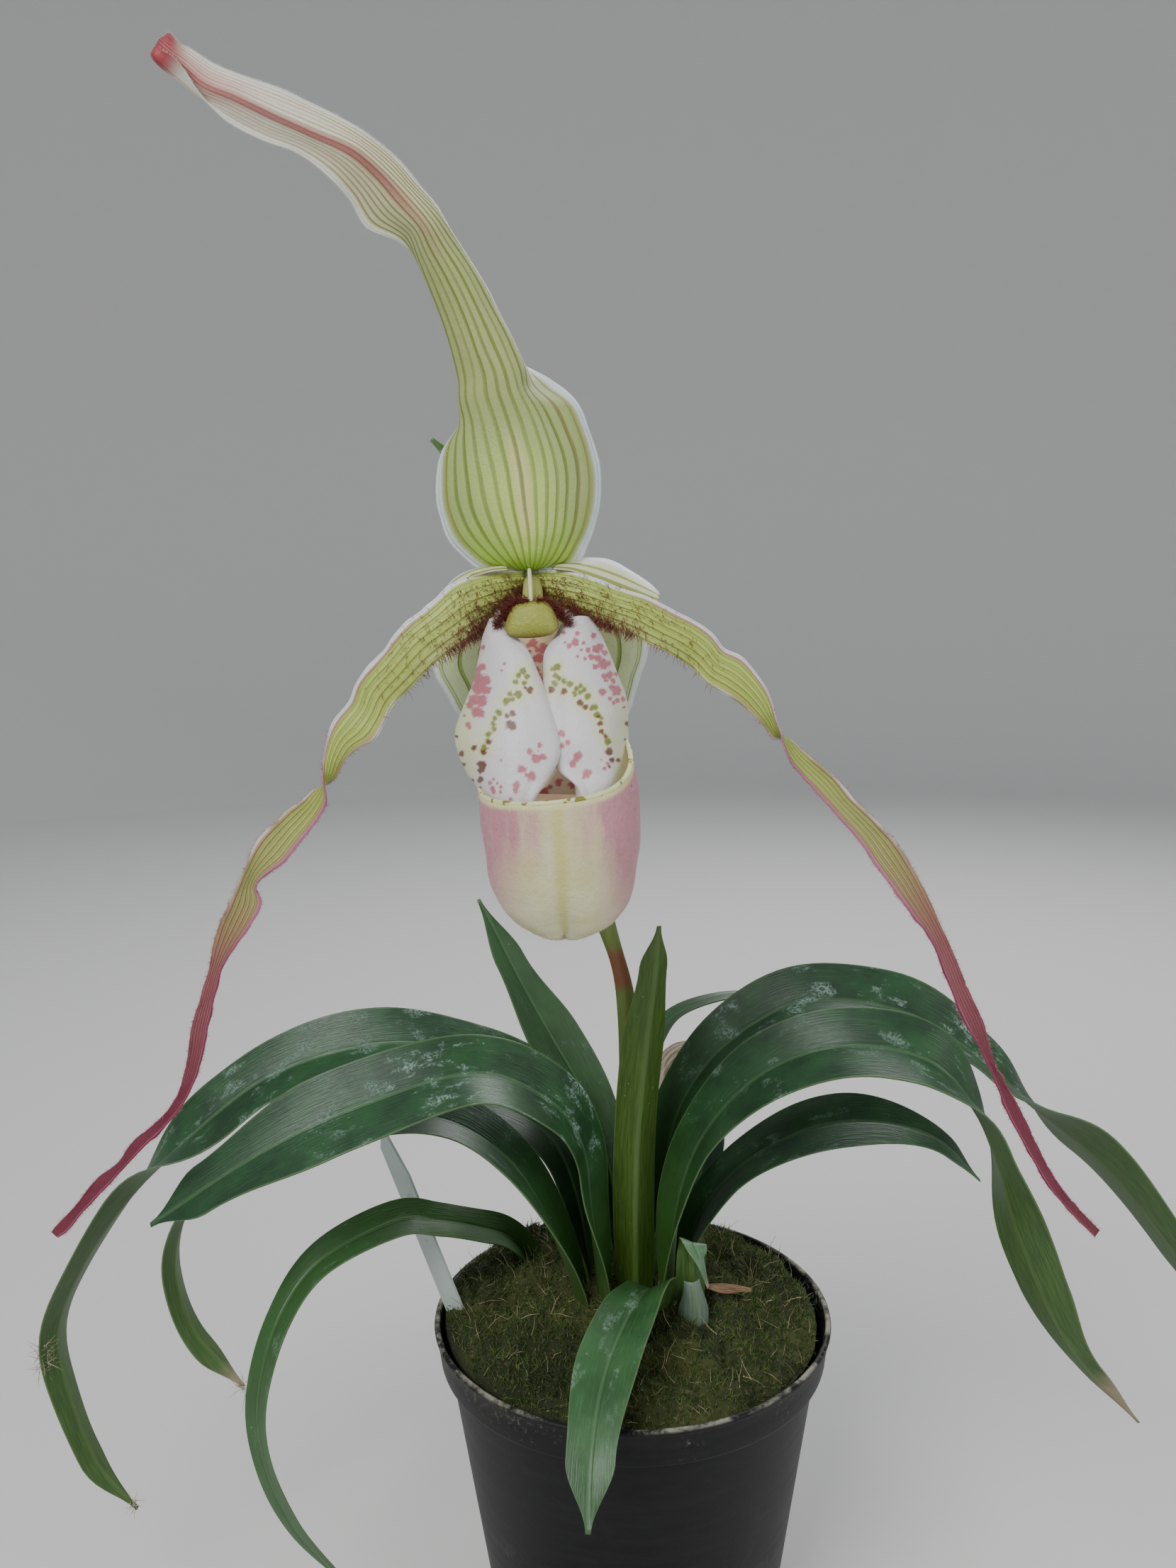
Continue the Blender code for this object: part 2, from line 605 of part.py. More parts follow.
# Column: from behind the petals forward to the shield-shaped staminode
column_shape = bmesh.new()
column_rings = []
for y, z, wide, tall, taper in (
    (-49.4, 286.6, 2.2, 2.1, 0.0), (-53.0, 285.6, 2.6, 2.3, 0.0), (-57.5, 283.2, 3.0, 2.4, 0.0), (-60.2, 280.6, 4.6, 2.8, 0.2),
    (-62.0, 279.0, 6.4, 3.2, 0.32), (-63.6, 278.6, 6.2, 3.0, 0.34), (-64.4, 278.6, 4.8, 2.2, 0.34),
):
    ring = []
    for step in range(16):
        angle = 2 * math.pi * step / 16
        reach = wide * (1 - taper * math.sin(angle)) * math.cos(angle)
        ring.append(column_shape.verts.new((-20.0 + reach, y, z + tall * math.sin(angle))))
    column_rings.append(ring)
for first, second in zip(column_rings, column_rings[1:]):
    for index in range(16):
        following = (index + 1) % 16
        column_shape.faces.new((first[index], first[following], second[following], second[index]))
column_shape.faces.new(column_rings[0])
column_shape.faces.new(column_rings[-1][::-1])
bmesh.ops.recalc_face_normals(column_shape, faces=column_shape.faces)
place("column", column_shape, (0.33, 0.34, 0.07), 0.5, (-20.0, -49.4, 286.6))


# Lip: a slipper with a deep toe and two side lobes that fold in over its mouth
def profile(table, height):
    """Values between the rows of a table whose first column is the height."""
    for low, high in zip(table, table[1:]):
        if height <= high[0]:
            step = (height - low[0]) / (high[0] - low[0])
            return [a + (b - a) * step for a, b in zip(low[1:], high[1:])]
    return list(table[-1][1:])


TOE = (
    (216.2, -15.0, -13.6, -73.0, -70.0), (217.0, -19.0, -10.2, -77.0, -66.0), (218.6, -22.2, -6.4, -79.6, -63.4),
    (221.5, -25.6, -3.4, -82.2, -60.8), (226.0, -28.0, -1.2, -84.6, -58.6), (232.0, -29.3, -0.1, -86.0, -57.2),
    (239.0, -30.2, 0.3, -86.2, -56.0), (246.0, -30.8, 0.0, -85.2, -55.2), (252.0, -31.4, -1.0, -83.8, -54.6),
    (256.0, -31.8, -2.2, -83.0, -54.2),
)
LOBES = (
    (242.0, -29.4, -3.4, -78.6, -57.4, -25.0, -7.0), (247.0, -32.0, -2.6, -79.6, -55.4, -20.0, -11.6),
    (251.0, -33.8, -2.2, -78.6, -54.0, -15.6, -14.0), (256.0, -34.6, -2.0, -76.0, -52.8, -14.6, -16.4),
    (262.0, -33.4, -3.4, -71.6, -51.8, -17.0, -17.6), (270.0, -31.2, -5.2, -66.4, -50.8, -21.2, -17.6),
    (276.0, -28.6, -9.4, -62.0, -50.6, -24.8, -15.8),
)

toe = bmesh.new()
TOE_AROUND, TOE_LEVELS = 28, 13
toe_rings = []
for level in range(TOE_LEVELS):
    share = level / (TOE_LEVELS - 1)
    ring = []
    for step in range(TOE_AROUND):
        angle = 2 * math.pi * step / TOE_AROUND
        rim = 249.5 + 4.6 * math.cos(angle) + 4.6 * math.sin(angle) * abs(math.sin(angle)) - 1.6 * math.cos(2 * angle)
        height = 216.2 + (rim - 216.2) * share**1.6
        left, right, front, back = profile(TOE, height)
        notch = 1.1 * math.exp(-((angle - 1.5 * math.pi) / 0.22) ** 2) * (1 - share)
        x = (left + right) / 2 + (right - left) / 2 * math.cos(angle)
        y = (front + back) / 2 + (back - front) / 2 * math.sin(angle) + notch
        ring.append(toe.verts.new((x, y, height + notch)))
    toe_rings.append(ring)
for first, second in zip(toe_rings, toe_rings[1:]):
    for index in range(TOE_AROUND):
        following = (index + 1) % TOE_AROUND
        toe.faces.new((first[index], first[following], second[following]))
        toe.faces.new((first[index], second[following], second[index]))
toe.faces.new(toe_rings[0][::-1])
lip = place("lip_pouch", toe, (0.82, 0.72, 0.55), 0.5, (-20.0, -66.0, 276.0))
shell = lip.modifiers.new("Thickness", "SOLIDIFY")
shell.thickness = 1.1 * MM
shell.offset = -1.0

lobe_rows = []
LOBE_AROUND, LOBE_LEVELS = 24, 11
for level in range(LOBE_LEVELS):
    height = 242.0 + (276.0 - 242.0) * level / (LOBE_LEVELS - 1)
    left, right, front, back, inner_left, inner_right = profile(LOBES, height)
    middle, half = (left + right) / 2, (right - left) / 2
    start = math.pi - math.asin((middle - inner_left) / half)
    end = math.pi - math.asin((inner_right - middle) / half)
    row = []
    for step in range(LOBE_AROUND + 1):
        share = step / LOBE_AROUND
        angle = -start + (start + end) * share
        tuck = 3.2 * max(0.0, (share - 0.72) / 0.28) ** 2
        x = middle + half * math.sin(angle)
        y = (front + back) / 2 + (back - front) / 2 * math.cos(angle) + tuck
        row.append(Vector((x, y, height)))
    lobe_rows.append(row)
lobes = sheet("lip_side_lobes", lobe_rows, 1.0, (0.85, 0.8, 0.75), 0.5)
lobes.hide_render = True
lobes.display_type = "WIRE"
joined = lip.modifiers.new("Side lobes", "BOOLEAN")
joined.operation = "UNION"
joined.solver = "EXACT"
joined.object = lobes

# Plant label: a bare plastic stake with a slanted top, leaning out over the rim
label_shape = bmesh.new()
outline = [(-2.4, 0), (2.4, 0), (3.1, 9), (3.1, 47), (0.4, 61), (-3.1, 56), (-3.1, 9)]
along = Vector((-22.0, 9.4, 55.0)).normalized()
broad = Vector((0.80, -0.55, 0.0))
broad = (broad - along * broad.dot(along)).normalized()
flat = along.cross(broad)
foot = Vector((-43.4, -5.2, 88.6))
for depth in (-0.4, 0.4):
    for across, up in outline:
        label_shape.verts.new(foot + broad * across + along * up + flat * depth)
label_shape.verts.ensure_lookup_table()
count = len(outline)
label_shape.faces.new([label_shape.verts[index] for index in range(count)])
label_shape.faces.new([label_shape.verts[count + index] for index in reversed(range(count))])
for index in range(count):
    following = (index + 1) % count
    label_shape.faces.new([label_shape.verts[index], label_shape.verts[count + index],
                           label_shape.verts[count + following], label_shape.verts[following]])
bmesh.ops.recalc_face_normals(label_shape, faces=label_shape.faces)
place("plant_label", label_shape, (0.66, 0.72, 0.72), 0.45, foot)

# A scrap of dry leaf lying on the moss
blade(
    "dry_leaf_scrap",
    [(19, -8, 105.2), (23, -8.4, 104.9), (27, -8.2, 104.5), (31, -8.6, 104.2)],
    ((0, (0, -0.3, 1)), (1, (0, -0.3, 1))),
    ((0, 1.6), (0.4, 3.4), (1, 1.4)),
    (0.23, 0.10, 0.04),
    curl=((0, -30), (1, -30)),
    fold=((0, 0), (1, 0)),
    stations=8,
    thickness=0.7,
    roughness=0.8,
)
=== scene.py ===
"""A potted slipper orchid in bloom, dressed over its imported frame: one section for each piece."""

import math

import bmesh
import bpy
import numpy as np
from mathutils import Matrix, Vector, noise


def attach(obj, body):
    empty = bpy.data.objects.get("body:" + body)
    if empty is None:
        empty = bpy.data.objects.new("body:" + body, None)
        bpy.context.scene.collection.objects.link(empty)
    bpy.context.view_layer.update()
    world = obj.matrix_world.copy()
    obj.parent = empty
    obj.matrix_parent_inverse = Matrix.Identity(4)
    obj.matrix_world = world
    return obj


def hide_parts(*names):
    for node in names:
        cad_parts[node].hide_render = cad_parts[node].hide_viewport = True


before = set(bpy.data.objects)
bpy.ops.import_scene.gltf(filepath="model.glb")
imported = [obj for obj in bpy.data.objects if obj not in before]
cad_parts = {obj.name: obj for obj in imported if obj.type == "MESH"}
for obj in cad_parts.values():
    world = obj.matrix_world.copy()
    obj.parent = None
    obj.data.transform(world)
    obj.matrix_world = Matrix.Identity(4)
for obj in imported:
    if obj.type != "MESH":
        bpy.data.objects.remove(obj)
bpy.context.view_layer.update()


# ---- Studio: a pale round floor that curves up into a wall on every side, three soft lights and
# the camera where the photographer stood, a little above the rim of the pot and tilted down.

def link(name, mesh):
    """Puts a finished mesh into the scene under its name."""
    made = bpy.data.objects.new(name, mesh)
    bpy.context.scene.collection.objects.link(made)
    return made


sweep = bmesh.new()
FLOOR_RADIUS, BEND, WALL_TOP, FACETS = 1.6, 0.8, 2.6, 96
arc = [math.radians(degrees) for degrees in range(10, 91, 10)]
outline = [(FLOOR_RADIUS, 0.0)]
outline += [(FLOOR_RADIUS + BEND * math.sin(a), BEND - BEND * math.cos(a)) for a in arc]
outline += [(FLOOR_RADIUS + BEND, WALL_TOP)]
turns = [2 * math.pi * index / FACETS for index in range(FACETS)]
rings = [[sweep.verts.new((r * math.cos(a), r * math.sin(a), z)) for a in turns] for r, z in outline]
sweep.faces.new(rings[0])
for inner, outer in zip(rings, rings[1:]):
    for index in range(FACETS):
        onward = (index + 1) % FACETS
        sweep.faces.new((inner[index], outer[index], outer[onward], inner[onward])).smooth = True
sweep_mesh = bpy.data.meshes.new("sweep")
sweep.to_mesh(sweep_mesh)
sweep.free()
floor = link("floor", sweep_mesh)
paper = bpy.data.materials.new("sweep_paper")
paper.use_nodes = True
paper.node_tree.nodes["Principled BSDF"].inputs["Base Color"].default_value = (0.62, 0.62, 0.60, 1)
paper.node_tree.nodes["Principled BSDF"].inputs["Roughness"].default_value = 0.9
sweep_mesh.materials.append(paper)

for name, place, aim, size, power in (
    ("key", (-0.55, -0.95, 1.15), (0.0, 0.0, 0.20), 0.7, 17.0),
    ("fill", (1.05, -0.75, 0.55), (0.0, 0.0, 0.22), 0.9, 6.5),
    ("rear", (0.30, 0.85, 0.95), (0.0, 0.0, 0.25), 0.6, 7.0),
):
    lamp = bpy.data.lights.new(name, "AREA")
    lamp.size = size
    lamp.energy = power
    lit = bpy.data.objects.new(name, lamp)
    lit.location = place
    lit.rotation_euler = (Vector(aim) - Vector(place)).to_track_quat("-Z", "Y").to_euler()
    bpy.context.scene.collection.objects.link(lit)

world = bpy.data.worlds.new("studio")
world.use_nodes = True
world.node_tree.nodes["Background"].inputs["Color"].default_value = (0.86, 0.90, 1.0, 1)
world.node_tree.nodes["Background"].inputs["Strength"].default_value = 0.50
bpy.context.scene.world = world

# The camera's place in millimetres, and its focal length against the photograph's height in pixels.
EYE = (-9.5, -317.0, 281.0)
FOCAL, PHOTO_HEIGHT = 1790.0, 2212.0
lens = bpy.data.cameras.new("camera")
lens.sensor_fit = "VERTICAL"
lens.sensor_height = 36.0
lens.lens = lens.sensor_height * FOCAL / PHOTO_HEIGHT
camera = bpy.data.objects.new("camera", lens)
camera.matrix_world = (
    Matrix.Translation([part / 1000 for part in EYE])
    @ Matrix.Rotation(math.radians(82.0), 4, "X")
    @ Matrix.Rotation(math.radians(-0.9), 4, "Z")
)
bpy.context.scene.collection.objects.link(camera)
bpy.context.scene.camera = camera


# ---- Pot: injection-moulded black plastic, 105 mm over the rim, with a stepped band, a rounded
# lip and drain holes. Years of hard water have left a white crust on the rim and runs below it; the
# thin pale line on top of the lip is partly that crust and partly a painted highlight.

class Value:
    """A socket of a material; arithmetic on it adds Math nodes."""

    def __init__(self, finish, socket):
        self.finish, self.socket = finish, socket

    def math(self, operation, *others):
        names = {index + 1: other for index, other in enumerate(others)}
        return self.finish.node("ShaderNodeMath", {0: self, **names}, operation=operation)

    def __add__(self, other):
        return self.math("ADD", other)

    def __sub__(self, other):
        return self.math("SUBTRACT", other)

    def __mul__(self, other):
        return self.math("MULTIPLY", other)

    def __truediv__(self, other):
        return self.math("DIVIDE", other)

    def __pow__(self, other):
        return self.math("POWER", other)

    def __rsub__(self, other):
        return self.finish.node("ShaderNodeMath", {0: other, 1: self}, operation="SUBTRACT")

    __radd__ = __add__
    __rmul__ = __mul__

    def within(self, low, high):
        """0 at low, 1 at high, smooth between them."""
        return self.finish.node(
            "ShaderNodeMapRange", {0: self, 1: low, 2: high}, interpolation_type="SMOOTHSTEP"
        )


class Finish:
    """A Principled material that is built up from nodes."""

    def __init__(self, name, **constants):
        self.material = bpy.data.materials.new(name)
        self.material.use_nodes = True
        self.tree = self.material.node_tree
        self.shader = self.tree.nodes["Principled BSDF"]
        for socket, value in constants.items():
            self.shader.inputs[socket.replace("_", " ")].default_value = value

    def node(self, kind, values=None, output=0, stops=None, **settings):
        """Adds a node: its settings first, then the values or links of its sockets."""
        made = self.tree.nodes.new(kind)
        for setting, value in settings.items():
            setattr(made, setting, value)
        if stops:
            ramp = made.color_ramp
            while len(ramp.elements) < len(stops):
                ramp.elements.new(0.5)
            for element, (at, colour) in zip(ramp.elements, stops):
                element.position = at
                element.color = (*colour, 1.0)
        for socket, value in (values or {}).items():
            if isinstance(value, Value):
                self.tree.links.new(value.socket, made.inputs[socket])
            elif isinstance(value, tuple) and made.inputs[socket].type == "RGBA":
                made.inputs[socket].default_value = (*value[:3], 1.0)
            else:
                made.inputs[socket].default_value = value
        return Value(self, made.outputs[output])

    def where(self, name="Object"):
        return self.node("ShaderNodeTexCoord", output=name)

    def read(self, name, output="Fac"):
        return self.node("ShaderNodeAttribute", output=output, attribute_name=name)

    def scaled(self, vector, scale, offset=(0.0, 0.0, 0.0)):
        return self.node("ShaderNodeMapping", {0: vector, 1: offset, 3: scale})

    def speckle(self, vector, scale, detail=3.0, rough=0.55, output=0):
        values = {"Vector": vector, "Scale": scale, "Detail": detail, "Roughness": rough}
        return self.node("ShaderNodeTexNoise", values, output=output)

    def mix(self, amount, first, second, blend="MIX"):
        return self.node(
            "ShaderNodeMix", {0: amount, 6: first, 7: second}, output=2,
            data_type="RGBA", blend_type=blend, clamp_factor=True,
        )

    def wear(self, **sockets):
        """Links what varies over the surface into the shader."""
        for socket, value in sockets.items():
            self.tree.links.new(value.socket, self.shader.inputs[socket.replace("_", " ")])

    def raise_by(self, height, distance, strength=1.0):
        values = {"Height": height, "Distance": distance, "Strength": strength}
        self.wear(Normal=self.node("ShaderNodeBump", values))


def turn(name, profile, steps, material):
    """A closed profile of (radius, height) in millimetres, turned about the pot's axis."""
    shape = bmesh.new()
    ring = [shape.verts.new((radius / 1000, 0.0, height / 1000)) for radius, height in profile]
    edges = [shape.edges.new(pair) for pair in zip(ring, ring[1:])]
    bmesh.ops.spin(
        shape, geom=ring + edges, cent=(0, 0, 0), axis=(0, 0, 1), angle=2 * math.pi,
        steps=steps, use_merge=True,
    )
    bmesh.ops.remove_doubles(shape, verts=shape.verts, dist=1e-6)
    bmesh.ops.recalc_face_normals(shape, faces=shape.faces)
    for face in shape.faces:
        face.smooth = True
    mesh = bpy.data.meshes.new(name)
    shape.to_mesh(mesh)
    shape.free()
    mesh.materials.append(material)
    return link(name, mesh)


plastic = Finish("black_pot_plastic", Roughness=0.5, Specular_IOR_Level=0.22)
here = plastic.where()
height = plastic.node("ShaderNodeSeparateXYZ", {0: here}, output="Z")
blotch = plastic.speckle(here, 75.0, 7.0, 0.68)
drift = plastic.speckle(plastic.scaled(here, (38.0, 38.0, 26.0)), 1.0, 4.0, 0.6)
fine = plastic.speckle(here, 700.0, 4.0, 0.7)
scuff = plastic.speckle(plastic.scaled(here, (55.0, 55.0, 500.0)), 1.0, 4.0, 0.7)
low_crust = (
    (1 - (height + (drift - 0.5) * 0.05).within(0.012, 0.054)) * blotch.within(0.50, 0.66)
    * fine.within(0.38, 0.64)
)
# Thin blotchy pale line along the top of the lip: partly white crust, partly a painted highlight where the
# rounded lip faces the light.
rim_crust_and_highlight = height.within(0.0941, 0.0950) * blotch.within(0.46, 0.60) * 0.75
band_crust = height.within(0.084, 0.094) * (drift * 0.5 + fine * 0.5).within(0.55, 0.66) * 0.5
# All the pale marks together: the crust, with the painted highlight on the lip among it.
crust_and_sheen = (low_crust * 0.55).math("MAXIMUM", rim_crust_and_highlight).math("MAXIMUM", band_crust)
black = plastic.mix(scuff.within(0.35, 0.75), (0.0045, 0.0045, 0.005), (0.011, 0.011, 0.012))
black = plastic.mix(blotch.within(0.52, 0.75) * 0.5, black, (0.020, 0.019, 0.016))
chalk = plastic.mix(height.within(0.05, 0.09), plastic.mix(fine, (0.16, 0.21, 0.20), (0.36, 0.42, 0.40)),
                    plastic.mix(fine, (0.22, 0.21, 0.14), (0.48, 0.48, 0.40)))
plastic.wear(Base_Color=plastic.mix(crust_and_sheen, black, chalk), Roughness=crust_and_sheen * 0.4 + scuff * 0.22 + 0.40)
plastic.raise_by(crust_and_sheen * 0.8 + fine * 0.12 + scuff * 0.1, 0.0004)

pot = turn(
    "pot_shell",
    [(0, 0), (30, 0), (34.6, 0), (35.6, 0.4), (36.2, 1.3), (36.5, 2.4), (42.5, 43), (48.5, 83.4),
     (48.75, 84.2), (49.2, 84.7), (50.4, 84.9), (50.8, 85.2), (51.0, 85.8), (51.5, 90), (51.9, 93.0),
     (52.2, 93.6), (52.5, 94.1), (52.4, 94.6), (52.0, 94.95), (51.5, 95), (51.1, 94.8), (50.9, 94.3),
     (50.2, 90), (49.4, 86), (48.9, 84.6), (47.4, 83.9), (47.1, 83), (41.0, 42), (34.9, 2.6),
     (33.8, 1.8), (32, 1.6), (0, 1.6)],
    128, plastic.material,
)
holes = bmesh.new()
for step in range(6):
    angle = math.radians(30 + 60 * step)
    tool = bmesh.ops.create_cone(holes, cap_ends=True, segments=32, radius1=0.004, radius2=0.004,
                                 depth=0.006)
    for vertex in tool["verts"]:
        vertex.co += Vector((0.026 * math.cos(angle), 0.026 * math.sin(angle), 0.0008))
holes_mesh = bpy.data.meshes.new("drain_holes")
holes.to_mesh(holes_mesh)
holes.free()
drains = link("drain_holes", holes_mesh)
cut = pot.modifiers.new("Drain holes", "BOOLEAN")
cut.operation = "DIFFERENCE"
cut.object = drains
pot.data = bpy.data.meshes.new_from_object(pot.evaluated_get(bpy.context.evaluated_depsgraph_get()))
pot.modifiers.clear()
bpy.data.objects.remove(drains, do_unlink=True)
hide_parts("pot")
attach(pot, "root")


# ---- Potting mix and crown: damp bark and grit under the moss, and the knobbly rhizome that
# everything grows from. Both stay as the frame gives them and take a finish.

def dress(node, finish):
    """Gives a solid of the frame its finish."""
    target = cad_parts[node]
    target.data.materials.clear()
    target.data.materials.append(finish.material)


bark = Finish("damp_bark_mix", Roughness=0.9)
here = bark.where()
chips = bark.node("ShaderNodeTexVoronoi", {"Vector": here, "Scale": 170.0}, output="Color")
tone = bark.node("ShaderNodeSeparateColor", {0: chips})
bark.wear(Base_Color=bark.node("ShaderNodeValToRGB", {0: tone}, stops=[
    (0.0, (0.030, 0.017, 0.010)), (0.5, (0.095, 0.052, 0.028)), (0.85, (0.17, 0.11, 0.065)),
    (1.0, (0.30, 0.27, 0.22)),
]))
bark.raise_by(bark.node("ShaderNodeTexVoronoi", {"Vector": here, "Scale": 170.0}), 0.0012)
dress("potting_mix", bark)

rhizome = Finish("rhizome_skin", Roughness=0.75)
scales = rhizome.speckle(rhizome.scaled(rhizome.where(), (200.0, 200.0, 900.0)), 1.0, 4.0)
rhizome.wear(Base_Color=rhizome.mix(scales, (0.09, 0.07, 0.03), (0.24, 0.22, 0.09)))
rhizome.raise_by(scales, 0.0006)
dress("crown", rhizome)


# ---- Moss cushion: living moss that has grown over the mix to the rim, a low mound with tan dry
# ends and darker hollows. A bumpy skin carries thousands of small sprigs.

def moss_top(x, y):
    """Height of the mound in millimetres over a point of the pot."""
    radius = math.hypot(x, y)
    dome = 102.2 - 0.0026 * radius * radius + 0.045 * y - 0.03 * x
    lumps = noise.noise(Vector((x, y, 3.0)) / 9.0) * 2.8 + noise.noise(Vector((x, y, 8.0)) / 4.0) * 2.4
    lumps += noise.noise(Vector((x, y, 4.0)) / 1.8) * 1.2
    edge = min(max((radius - 44.0) / 7.0, 0.0), 1.0)
    return dome + lumps * (1 - 0.5 * edge) - 2.2 * edge * edge


def moss_edge(angle):
    back = max(0.0, math.cos(angle - math.radians(35)))
    ragged = noise.noise(Vector((math.cos(angle), math.sin(angle), 0.0)) * 5.0)
    return 49.7 - 2.6 * back**4 - 0.5 * abs(math.sin(3.0 * angle)) - 0.7 * abs(ragged)


AROUND, RINGS = 180, 46
moss_shape = bmesh.new()
middle = moss_shape.verts.new((0.0, 0.0, moss_top(0.0, 0.0) / 1000))
rings = []
for ring in range(1, RINGS + 1):
    rings.append([])
    for step in range(AROUND):
        angle = 2 * math.pi * step / AROUND
        radius = moss_edge(angle) * ring / RINGS
        x, y = radius * math.cos(angle), radius * math.sin(angle)
        rings[-1].append(moss_shape.verts.new((x / 1000, y / 1000, moss_top(x, y) / 1000)))
for shrink, height in ((1.0, 93.0), (0.965, 86.6), (0.9, 84.3)):
    rings.append([])
    for step in range(AROUND):
        angle = 2 * math.pi * step / AROUND
        radius = moss_edge(angle) * shrink / 1000
        rings[-1].append(moss_shape.verts.new((radius * math.cos(angle), radius * math.sin(angle),
                                               height / 1000)))
for step in range(AROUND):
    following = (step + 1) % AROUND
    moss_shape.faces.new((middle, rings[0][step], rings[0][following]))
    for inner, outer in zip(rings, rings[1:]):
        moss_shape.faces.new((inner[step], outer[step], outer[following], inner[following]))
moss_shape.faces.new(rings[-1][::-1])
bmesh.ops.recalc_face_normals(moss_shape, faces=moss_shape.faces)
for face in moss_shape.faces:
    face.smooth = len(face.verts) < 5
moss_mesh = bpy.data.meshes.new("moss_skin")
moss_shape.to_mesh(moss_mesh)
moss_shape.free()

turf = Finish("moss_skin", Roughness=0.95)
here = turf.where()
patches = turf.speckle(here, 45.0, 4.0)
grain = turf.speckle(here, 900.0, 3.0)
green = turf.mix(patches.within(0.35, 0.68), (0.012, 0.018, 0.004), (0.060, 0.070, 0.016))
turf.wear(Base_Color=turf.mix(grain.within(0.55, 0.75) * 0.5, green, (0.16, 0.13, 0.06)))
turf.raise_by(grain, 0.0008)
moss_mesh.materials.append(turf.material)
moss = link("moss_skin", moss_mesh)
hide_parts("moss_cushion")
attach(moss, "root")

tree = bpy.data.node_groups.new("strands", "GeometryNodeTree")
tree.is_modifier = True
tree.interface.new_socket("Geometry", in_out="INPUT", socket_type="NodeSocketGeometry")
for label, kind, value in (
    ("Length", "NodeSocketFloat", 0.0018), ("Thickness", "NodeSocketFloat", 0.00012),
    ("Bend", "NodeSocketFloat", 0.4), ("Uneven", "NodeSocketFloat", 0.4), ("Steps", "NodeSocketInt", 5),
    ("Seed", "NodeSocketInt", 0), ("Finish", "NodeSocketMaterial", None),
):
    socket = tree.interface.new_socket(label, in_out="INPUT", socket_type=kind)
    if value is not None:
        socket.default_value = value
tree.interface.new_socket("Geometry", in_out="OUTPUT", socket_type="NodeSocketGeometry")


def grow(kind, values=None, **settings):
    """Adds a node to the strands tree: its settings, then values or links."""
    made = tree.nodes.new(kind)
    for setting, value in settings.items():
        setattr(made, setting, value)
    for socket, value in (values or {}).items():
        if isinstance(value, bpy.types.NodeSocket):
            tree.links.new(value, made.inputs[socket])
        else:
            made.inputs[socket].default_value = value
    return made


given = grow("NodeGroupInput").outputs
line = grow("GeometryNodeCurvePrimitiveLine", {"Start": (0, 0, 0), "End": (0, 0, 1)})
fine = grow("GeometryNodeResampleCurve", {"Curve": line.outputs[0], "Count": given["Steps"]})
share = grow("GeometryNodeSplineParameter").outputs["Factor"]
bow = grow("ShaderNodeMath", {0: share, 1: 2.0}, operation="POWER")
bow = grow("ShaderNodeMath", {0: bow.outputs[0], 1: given["Bend"]}, operation="MULTIPLY")
shift = grow("ShaderNodeCombineXYZ", {0: bow.outputs[0]})
bent = grow("GeometryNodeSetPosition", {"Geometry": fine.outputs[0], "Offset": shift.outputs[0]})
thin = grow("ShaderNodeMapRange", {0: share, 3: 1.0, 4: 0.25})
slim = grow("ShaderNodeMath", {0: given["Thickness"], 1: given["Length"]}, operation="DIVIDE")
girth = grow("ShaderNodeMath", {0: thin.outputs[0], 1: slim.outputs[0]}, operation="MULTIPLY")
ring = grow("GeometryNodeCurvePrimitiveCircle", {"Resolution": 3, "Radius": 0.5})
strand = grow("GeometryNodeCurveToMesh", {
    "Curve": bent.outputs[0], "Profile Curve": ring.outputs["Curve"], "Scale": girth.outputs[0],
    "Fill Caps": True,
})
lean = grow("GeometryNodeInputNamedAttribute", {"Name": "lean"}, data_type="FLOAT_VECTOR")
turn_to = grow("FunctionNodeAlignRotationToVector", {"Vector": lean.outputs[0]}, axis="Z")
spin = grow("FunctionNodeRandomValue", {2: 0.0, 3: 2 * math.pi, "Seed": given["Seed"]}, data_type="FLOAT")
about = grow("FunctionNodeAxisAngleToRotation", {"Axis": (0, 0, 1), "Angle": spin.outputs[1]})
facing = grow("FunctionNodeRotateRotation", {0: turn_to.outputs[0], 1: about.outputs[0]},
              rotation_space="LOCAL")
least = grow("ShaderNodeMath", {0: 1.0, 1: given["Uneven"]}, operation="SUBTRACT")
varied = grow("FunctionNodeRandomValue", {2: least.outputs[0], 3: 1.0, "Seed": given["Seed"]},
              data_type="FLOAT")
size = grow("ShaderNodeMath", {0: varied.outputs[1], 1: given["Length"]}, operation="MULTIPLY")
planted = grow("GeometryNodeInstanceOnPoints", {
    "Points": given["Geometry"], "Instance": strand.outputs[0], "Rotation": facing.outputs[0],
    "Scale": size.outputs[0],
})
real = grow("GeometryNodeRealizeInstances", {"Geometry": planted.outputs[0]})
coated = grow("GeometryNodeSetMaterial", {"Geometry": real.outputs[0], "Material": given["Finish"]})
grow("NodeGroupOutput", {0: coated.outputs[0]})
STRANDS = {item.name: item.identifier for item in tree.interface.items_tree if item.in_out == "INPUT"}


def bristles(name, node, points, leans, length, thickness, bend, uneven, seed, material, steps=3):
    """Strands at points in millimetres, leaning the given ways; length and thickness in metres."""
    mesh = bpy.data.meshes.new(name)
    mesh.from_pydata((np.array(points) / 1000).tolist(), [], [])
    ways = mesh.attributes.new("lean", "FLOAT_VECTOR", "POINT")
    ways.data.foreach_set("vector", np.array(leans, np.float32).ravel())
    made = link(name, mesh)
    rule = made.modifiers.new("Strands", "NODES")
    rule.node_group = tree
    for label, value in (("Length", length), ("Thickness", thickness), ("Bend", bend), ("Uneven", uneven),
                         ("Steps", steps), ("Seed", seed), ("Finish", material)):
        rule[STRANDS[label]] = value
    grown = bpy.data.meshes.new_from_object(made.evaluated_get(bpy.context.evaluated_depsgraph_get()))
    made.modifiers.clear()
    made.data = grown
    grown.name = name
    bpy.data.meshes.remove(mesh)
    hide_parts(node)
    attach(made, "root")


